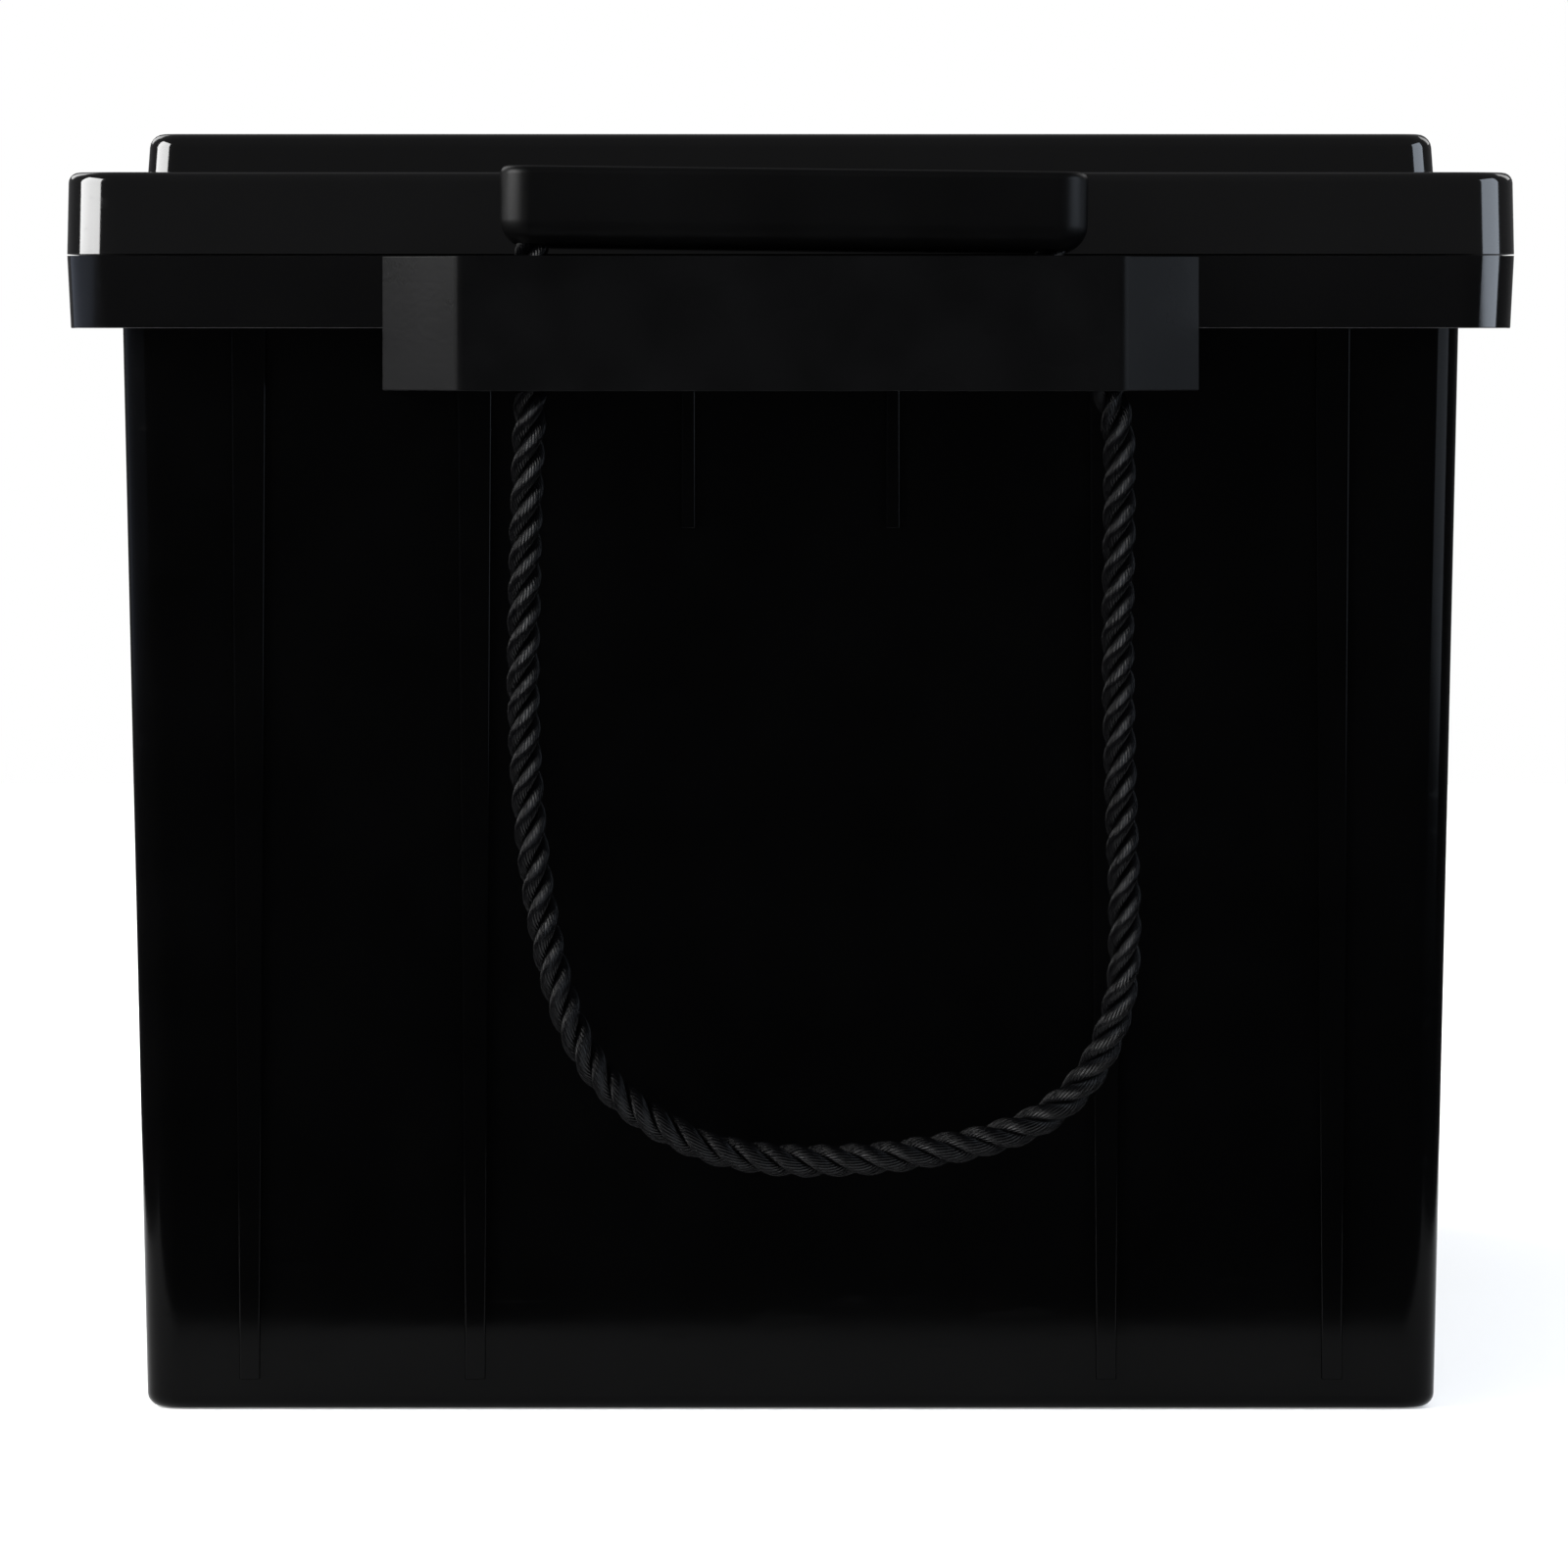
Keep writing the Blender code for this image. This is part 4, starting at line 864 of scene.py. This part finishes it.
# ---- lid -------------------------------------------------------------------------------------------------
def add_well(steps, word, side):
    """A tub sunk in the corner of the deck, with its cable notch, post hole and polarity mark."""
    low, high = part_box(f"terminal_post_{word}")
    middle = (low + high) / 2
    half = WELL_SIZE / 2
    tub_half = half + WELL_WALL - SKIN
    tub = box_tool(f"tub_{word}", (middle.x - tub_half, middle.y - tub_half, WELL_FLOOR_Z - WELL_WALL),
                   (middle.x + tub_half, middle.y + tub_half, DECK_TOP_Z - SKIN))
    steps.append((tub, "UNION"))
    well = tapered_block(f"well_{word}", WELL_FLOOR_Z, (half, half), ABOVE_Z, (half, half), WELL_CORNER,
                         steps=8)
    well.data.transform(Matrix.Translation((middle.x, middle.y, 0)))
    steps.append((well, "DIFFERENCE"))
    notch = box_tool(f"notch_{word}", (middle.x - CABLE_NOTCH / 2, middle.y, RIM_TOP_Z + GAP),
                     (middle.x + CABLE_NOTCH / 2, RIM_HALF_Y + CUT_SPARE, ABOVE_Z))
    steps.append((notch, "DIFFERENCE"))
    hole = disc(f"post_hole_{word}", POST_RADIUS + GAP, WELL_FLOOR_Z - CUT_SPARE / 2,
                WELL_FLOOR_Z + CUT_SPARE / 2)
    hole.data.transform(Matrix.Translation((middle.x, middle.y, 0)))
    steps.append((hole, "DIFFERENCE"))
    bars = [(MARK_SIZE, MARK_STROKE), (MARK_STROKE, MARK_SIZE)] if side > 0 else [(MARK_SIZE, MARK_STROKE)]
    for number, (size_x, size_y) in enumerate(bars):
        bar = box_tool(
            f"mark_{word}_{number}",
            (middle.x - size_x / 2, MARK_Y - size_y / 2, DECK_TOP_Z - MARK_DEPTH - number * MERGE),
            (middle.x + size_x / 2, MARK_Y + size_y / 2, ABOVE_Z),
            MARK_CORNER,
        )
        steps.append((bar, "DIFFERENCE"))


def add_channel(steps, word):
    """The sunk channel over three cells, with a neck and its bore under each valve cap."""
    low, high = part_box(f"vent_cover_{word}")
    wall = CHANNEL_WALL
    tub = box_tool(f"channel_tub_{word}", (low.x - wall, low.y - wall, CHANNEL_FLOOR_Z - wall),
                   (high.x + wall, high.y + wall - SKIN, DECK_TOP_Z - SKIN))
    steps.append((tub, "UNION"))
    channel = box_tool(f"channel_{word}", (low.x - GAP, low.y - GAP, CHANNEL_FLOOR_Z),
                       (high.x + GAP, high.y + GAP, ABOVE_Z), CHANNEL_CORNER)
    steps.append((channel, "DIFFERENCE"))
    for number in range(1, 7):
        cap_low, cap_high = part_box(f"valve_cap_{number}")
        middle = (cap_low + cap_high) / 2
        if not low.x < middle.x < high.x:
            continue
        place = Matrix.Translation((middle.x, middle.y, 0))
        neck = disc(f"neck_{number}", NECK_RADIUS, CHANNEL_FLOOR_Z - wall / 2, NECK_TOP_Z, NECK_STEPS)
        bore = disc(f"bore_{number}", NECK_BORE, CHANNEL_FLOOR_Z - CUT_SPARE, DECK_TOP_Z, NECK_STEPS)
        for tool, operation in ((neck, "UNION"), (bore, "DIFFERENCE")):
            tool.data.transform(place)
            steps.append((tool, operation))


def make_lid(materials):
    seam = (RIM_HALF_X, RIM_HALF_Y)
    top = (RIM_HALF_X - LID_TAPER, RIM_HALF_Y - LID_TAPER)
    lid = tapered_block("lid_moulding", LID_BOTTOM_Z, seam, RIM_TOP_Z, top, RIM_CORNER, 0.0, RIM_TOP_EDGE)
    lid.data.materials.append(materials["lid_plastic"])
    deck_low = (RIM_HALF_X - DECK_INSET, RIM_HALF_Y - DECK_INSET)
    deck_high = (deck_low[0] - DECK_DRAFT, deck_low[1] - DECK_DRAFT)
    deck = tapered_block("deck", RIM_TOP_Z - DECK_INTO_RIM, deck_low, DECK_TOP_Z, deck_high, DECK_CORNER, 0.0,
                         DECK_EDGE)
    steps = [(deck, "UNION")]
    outer_x, outer_y = deck_low[0] - POCKET_WALL, deck_low[1] - POCKET_WALL
    for side in (-1, 1):
        for row, (y_low, y_high) in cell_rows(outer_y).items():
            pocket = box_tool(f"pocket_{side}_{row}", (side * PARTITION_THICK / 2, y_low, SEAM_Z - CUT_SPARE),
                              (side * outer_x, y_high, DECK_TOP_Z - DECK_THICK))
            steps.append((pocket, "DIFFERENCE"))
    for word, side in (("positive", 1), ("negative", -1)):
        add_well(steps, word, side)
    for word in ("left", "right"):
        add_channel(steps, word)
    combine(lid, steps)
    smooth(lid)
    finish_piece(lid, "case", "lid_plastic", "lid")


def make_vent_cover(word, material):
    low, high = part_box(f"vent_cover_{word}")
    middle = (low + high) / 2
    half = (high - low) / 2
    cover = tapered_block(f"vent_cover_{word}_plate", -half.z, half[:2], half.z, half[:2],
                          COVER_CORNER, 0.0, COVER_EDGE, 8)
    cover.data.transform(Matrix.Translation(middle))
    cover.data.materials.append(material)
    felt_low, felt_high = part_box(f"vent_filter_{word}")
    felt = (felt_low + felt_high) / 2
    steps = []
    reach = Vector((GAS_SLOT_HALF_LENGTH, GAS_SLOT_HALF_WIDTH, CUT_SPARE))
    for number, shift in enumerate((-GAS_SLOT_SHIFT, GAS_SLOT_SHIFT)):
        place = Vector((felt.x, felt.y + shift, middle.z))
        slot = box_tool(f"gas_{word}_{number}", place - reach, place + reach, GAS_SLOT_CORNER)
        steps.append((slot, "DIFFERENCE"))
    for end in (-1, 1):
        y = middle.y + end * half.y
        pry = box_tool(f"pry_{word}_{end}",
                       (middle.x - PRY_HALF_LENGTH, y - end * PRY_INSET, high.z - PRY_DEPTH),
                       (middle.x + PRY_HALF_LENGTH, y + end * CUT_SPARE, high.z + CUT_SPARE))
        steps.append((pry, "DIFFERENCE"))
    combine(cover, steps)
    smooth(cover)
    finish_piece(cover, "case", "lid_plastic", f"vent_cover_{word}")


# ---- terminals -------------------------------------------------------------------------------------------
def make_terminal(word, materials):
    post_low, post_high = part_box(f"terminal_post_{word}")
    seal_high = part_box(f"terminal_seal_{word}")[1]
    centre = (post_low + post_high) / 2
    place = Matrix.Translation((centre.x, centre.y, 0))
    pad_radius = (post_high.x - post_low.x) / 2
    pad_low = seal_high.z + GAP
    seat_z = post_high.z - SEAT_DEPTH
    post = turned(f"terminal_post_{word}_cast", [
        (0.0, post_high.z - POST_BORE_DEPTH),
        (POST_BORE_RADIUS, post_high.z - POST_BORE_DEPTH),
        (POST_BORE_RADIUS, seat_z),
        (SEAT_RADIUS, seat_z),
        (SEAT_RADIUS, post_high.z),
        (pad_radius - POST_EDGE, post_high.z),
        (pad_radius, post_high.z - POST_EDGE),
        (pad_radius, pad_low + POST_EDGE),
        (pad_radius - POST_EDGE, pad_low),
        (POST_RADIUS, pad_low),
        (POST_RADIUS, post_low.z),
        (0.0, post_low.z),
    ])
    post.data.transform(place)
    post.data.materials.append(materials["lead"])
    smooth(post)
    finish_piece(post, "case", "lead", f"terminal_post_{word}")

    low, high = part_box(f"terminal_washer_{word}")
    radius = (high.x - low.x) / 2
    washer = turned(f"terminal_washer_{word}_flat", [
        (POST_BORE_RADIUS, high.z),
        (radius - WASHER_EDGE, high.z),
        (radius, high.z - WASHER_EDGE),
        (radius, low.z + WASHER_EDGE),
        (radius - WASHER_EDGE, low.z),
        (POST_BORE_RADIUS, low.z),
        (POST_BORE_RADIUS, high.z),
    ])
    washer.data.transform(place)
    washer.data.materials.append(materials["brass"])
    smooth(washer)
    finish_piece(washer, "case", "brass", f"terminal_washer_{word}")

    bolt_low, bolt_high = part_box(f"terminal_bolt_{word}")
    head_low, head_high = high.z + GAP, bolt_high.z
    head = disc(f"terminal_bolt_{word}_hex", BOLT_HEAD_RADIUS, head_low, head_high, 6)
    head.data.materials.append(materials["bolt_steel"])
    dome = turned("dome", [
        (0.0, head_high),
        (DOME_TOP_RADIUS, head_high),
        (DOME_RADIUS, head_high - DOME_TOP_DROP),
        (DOME_RADIUS, head_low + DOME_LOW_RISE),
        (DOME_LOW_RADIUS, head_low - DOME_SPARE),
        (0.0, head_low - DOME_SPARE),
    ])
    shank = disc("shank", BOLT_SHANK_RADIUS, bolt_low.z, head_low + JOIN_DEPTH, BOLT_SHANK_STEPS)
    combine(head, [(dome, "INTERSECT"), (shank, "UNION")])
    head.data.transform(place)
    smooth(head)
    finish_piece(head, "case", "bolt_steel", f"terminal_bolt_{word}")


# ---- pieces that keep their frame shape --------------------------------------------------------------------
def paint_kept_nodes(materials):
    slots = {row["node"]: row["material_slot"] for row in frame["record"]["subparts"]}
    for name, obj in frame["nodes"].items():
        obj.data.materials.clear()
        obj.data.materials.append(materials[slots[name]])
        if name.startswith(("valve_cap_", "vent_filter_", "terminal_seal_")):
            obj.data.shade_smooth()
            obj.data.set_sharp_from_angle(angle=SHARP_ANGLE)


# ---- floor -------------------------------------------------------------------------------------------------
def make_floor():
    """A plain pale floor; only the part close round the object shows in its polished faces."""
    room = bpy.data.collections.new("floor")
    bpy.context.scene.collection.children.link(room)
    finish = Finish("floor", specular=0.1)
    shade = finish.spread(finish.noise(3, 2), 0, 1)
    finish.colour(finish.blend(shade, (0.86, 0.86, 0.86), (0.88, 0.88, 0.88)))
    finish.socket("Roughness", 0.9)
    far_x, far_y = FLOOR_FAR
    near_x, near_y = RIM_HALF_X + NEAR_BESIDE, LUG_FACE_Y + NEAR_BEFORE
    far_low, far_high = (-far_x, -far_y), (far_x, far_y)
    floors = []
    for name, low, high in (
        ("floor_near", (-near_x, -near_y), (near_x, near_y)),
        ("floor_front", far_low, (far_x, -near_y)),
        ("floor_back", (-far_x, near_y), far_high),
        ("floor_left", (-far_x, -near_y), (-near_x, near_y)),
        ("floor_right", (near_x, -near_y), (far_x, near_y)),
    ):
        bm = bmesh.new()
        bm.faces.new([bm.verts.new(place) for place in (
            (low[0], low[1], 0), (high[0], low[1], 0), (high[0], high[1], 0), (low[0], high[1], 0))])
        piece = new_object(name, mesh_from(bm, name), [finish.material])
        piece.visible_glossy = name == "floor_near"
        floors.append(piece)
    for floor in floors:
        floor.location.z = -FLOOR_DROP
        bpy.context.scene.collection.objects.unlink(floor)
        room.objects.link(floor)


make_camera()
MATERIALS = make_materials()
for handle, handle_end in ENDS.items():
    make_rope(handle, handle_end, MATERIALS["rope_fibre"])
make_floor()
make_lights()
make_world()
bpy.context.scene.view_settings.view_transform = "Standard"
paint_kept_nodes(MATERIALS)
make_container(MATERIALS)
make_lid(MATERIALS)
for handle, handle_end in ENDS.items():
    make_grip(handle, handle_end, MATERIALS["grip_plastic"])
for polarity in ("positive", "negative"):
    make_terminal(polarity, MATERIALS)
for row_side in ("left", "right"):
    make_vent_cover(row_side, MATERIALS["lid_plastic"])
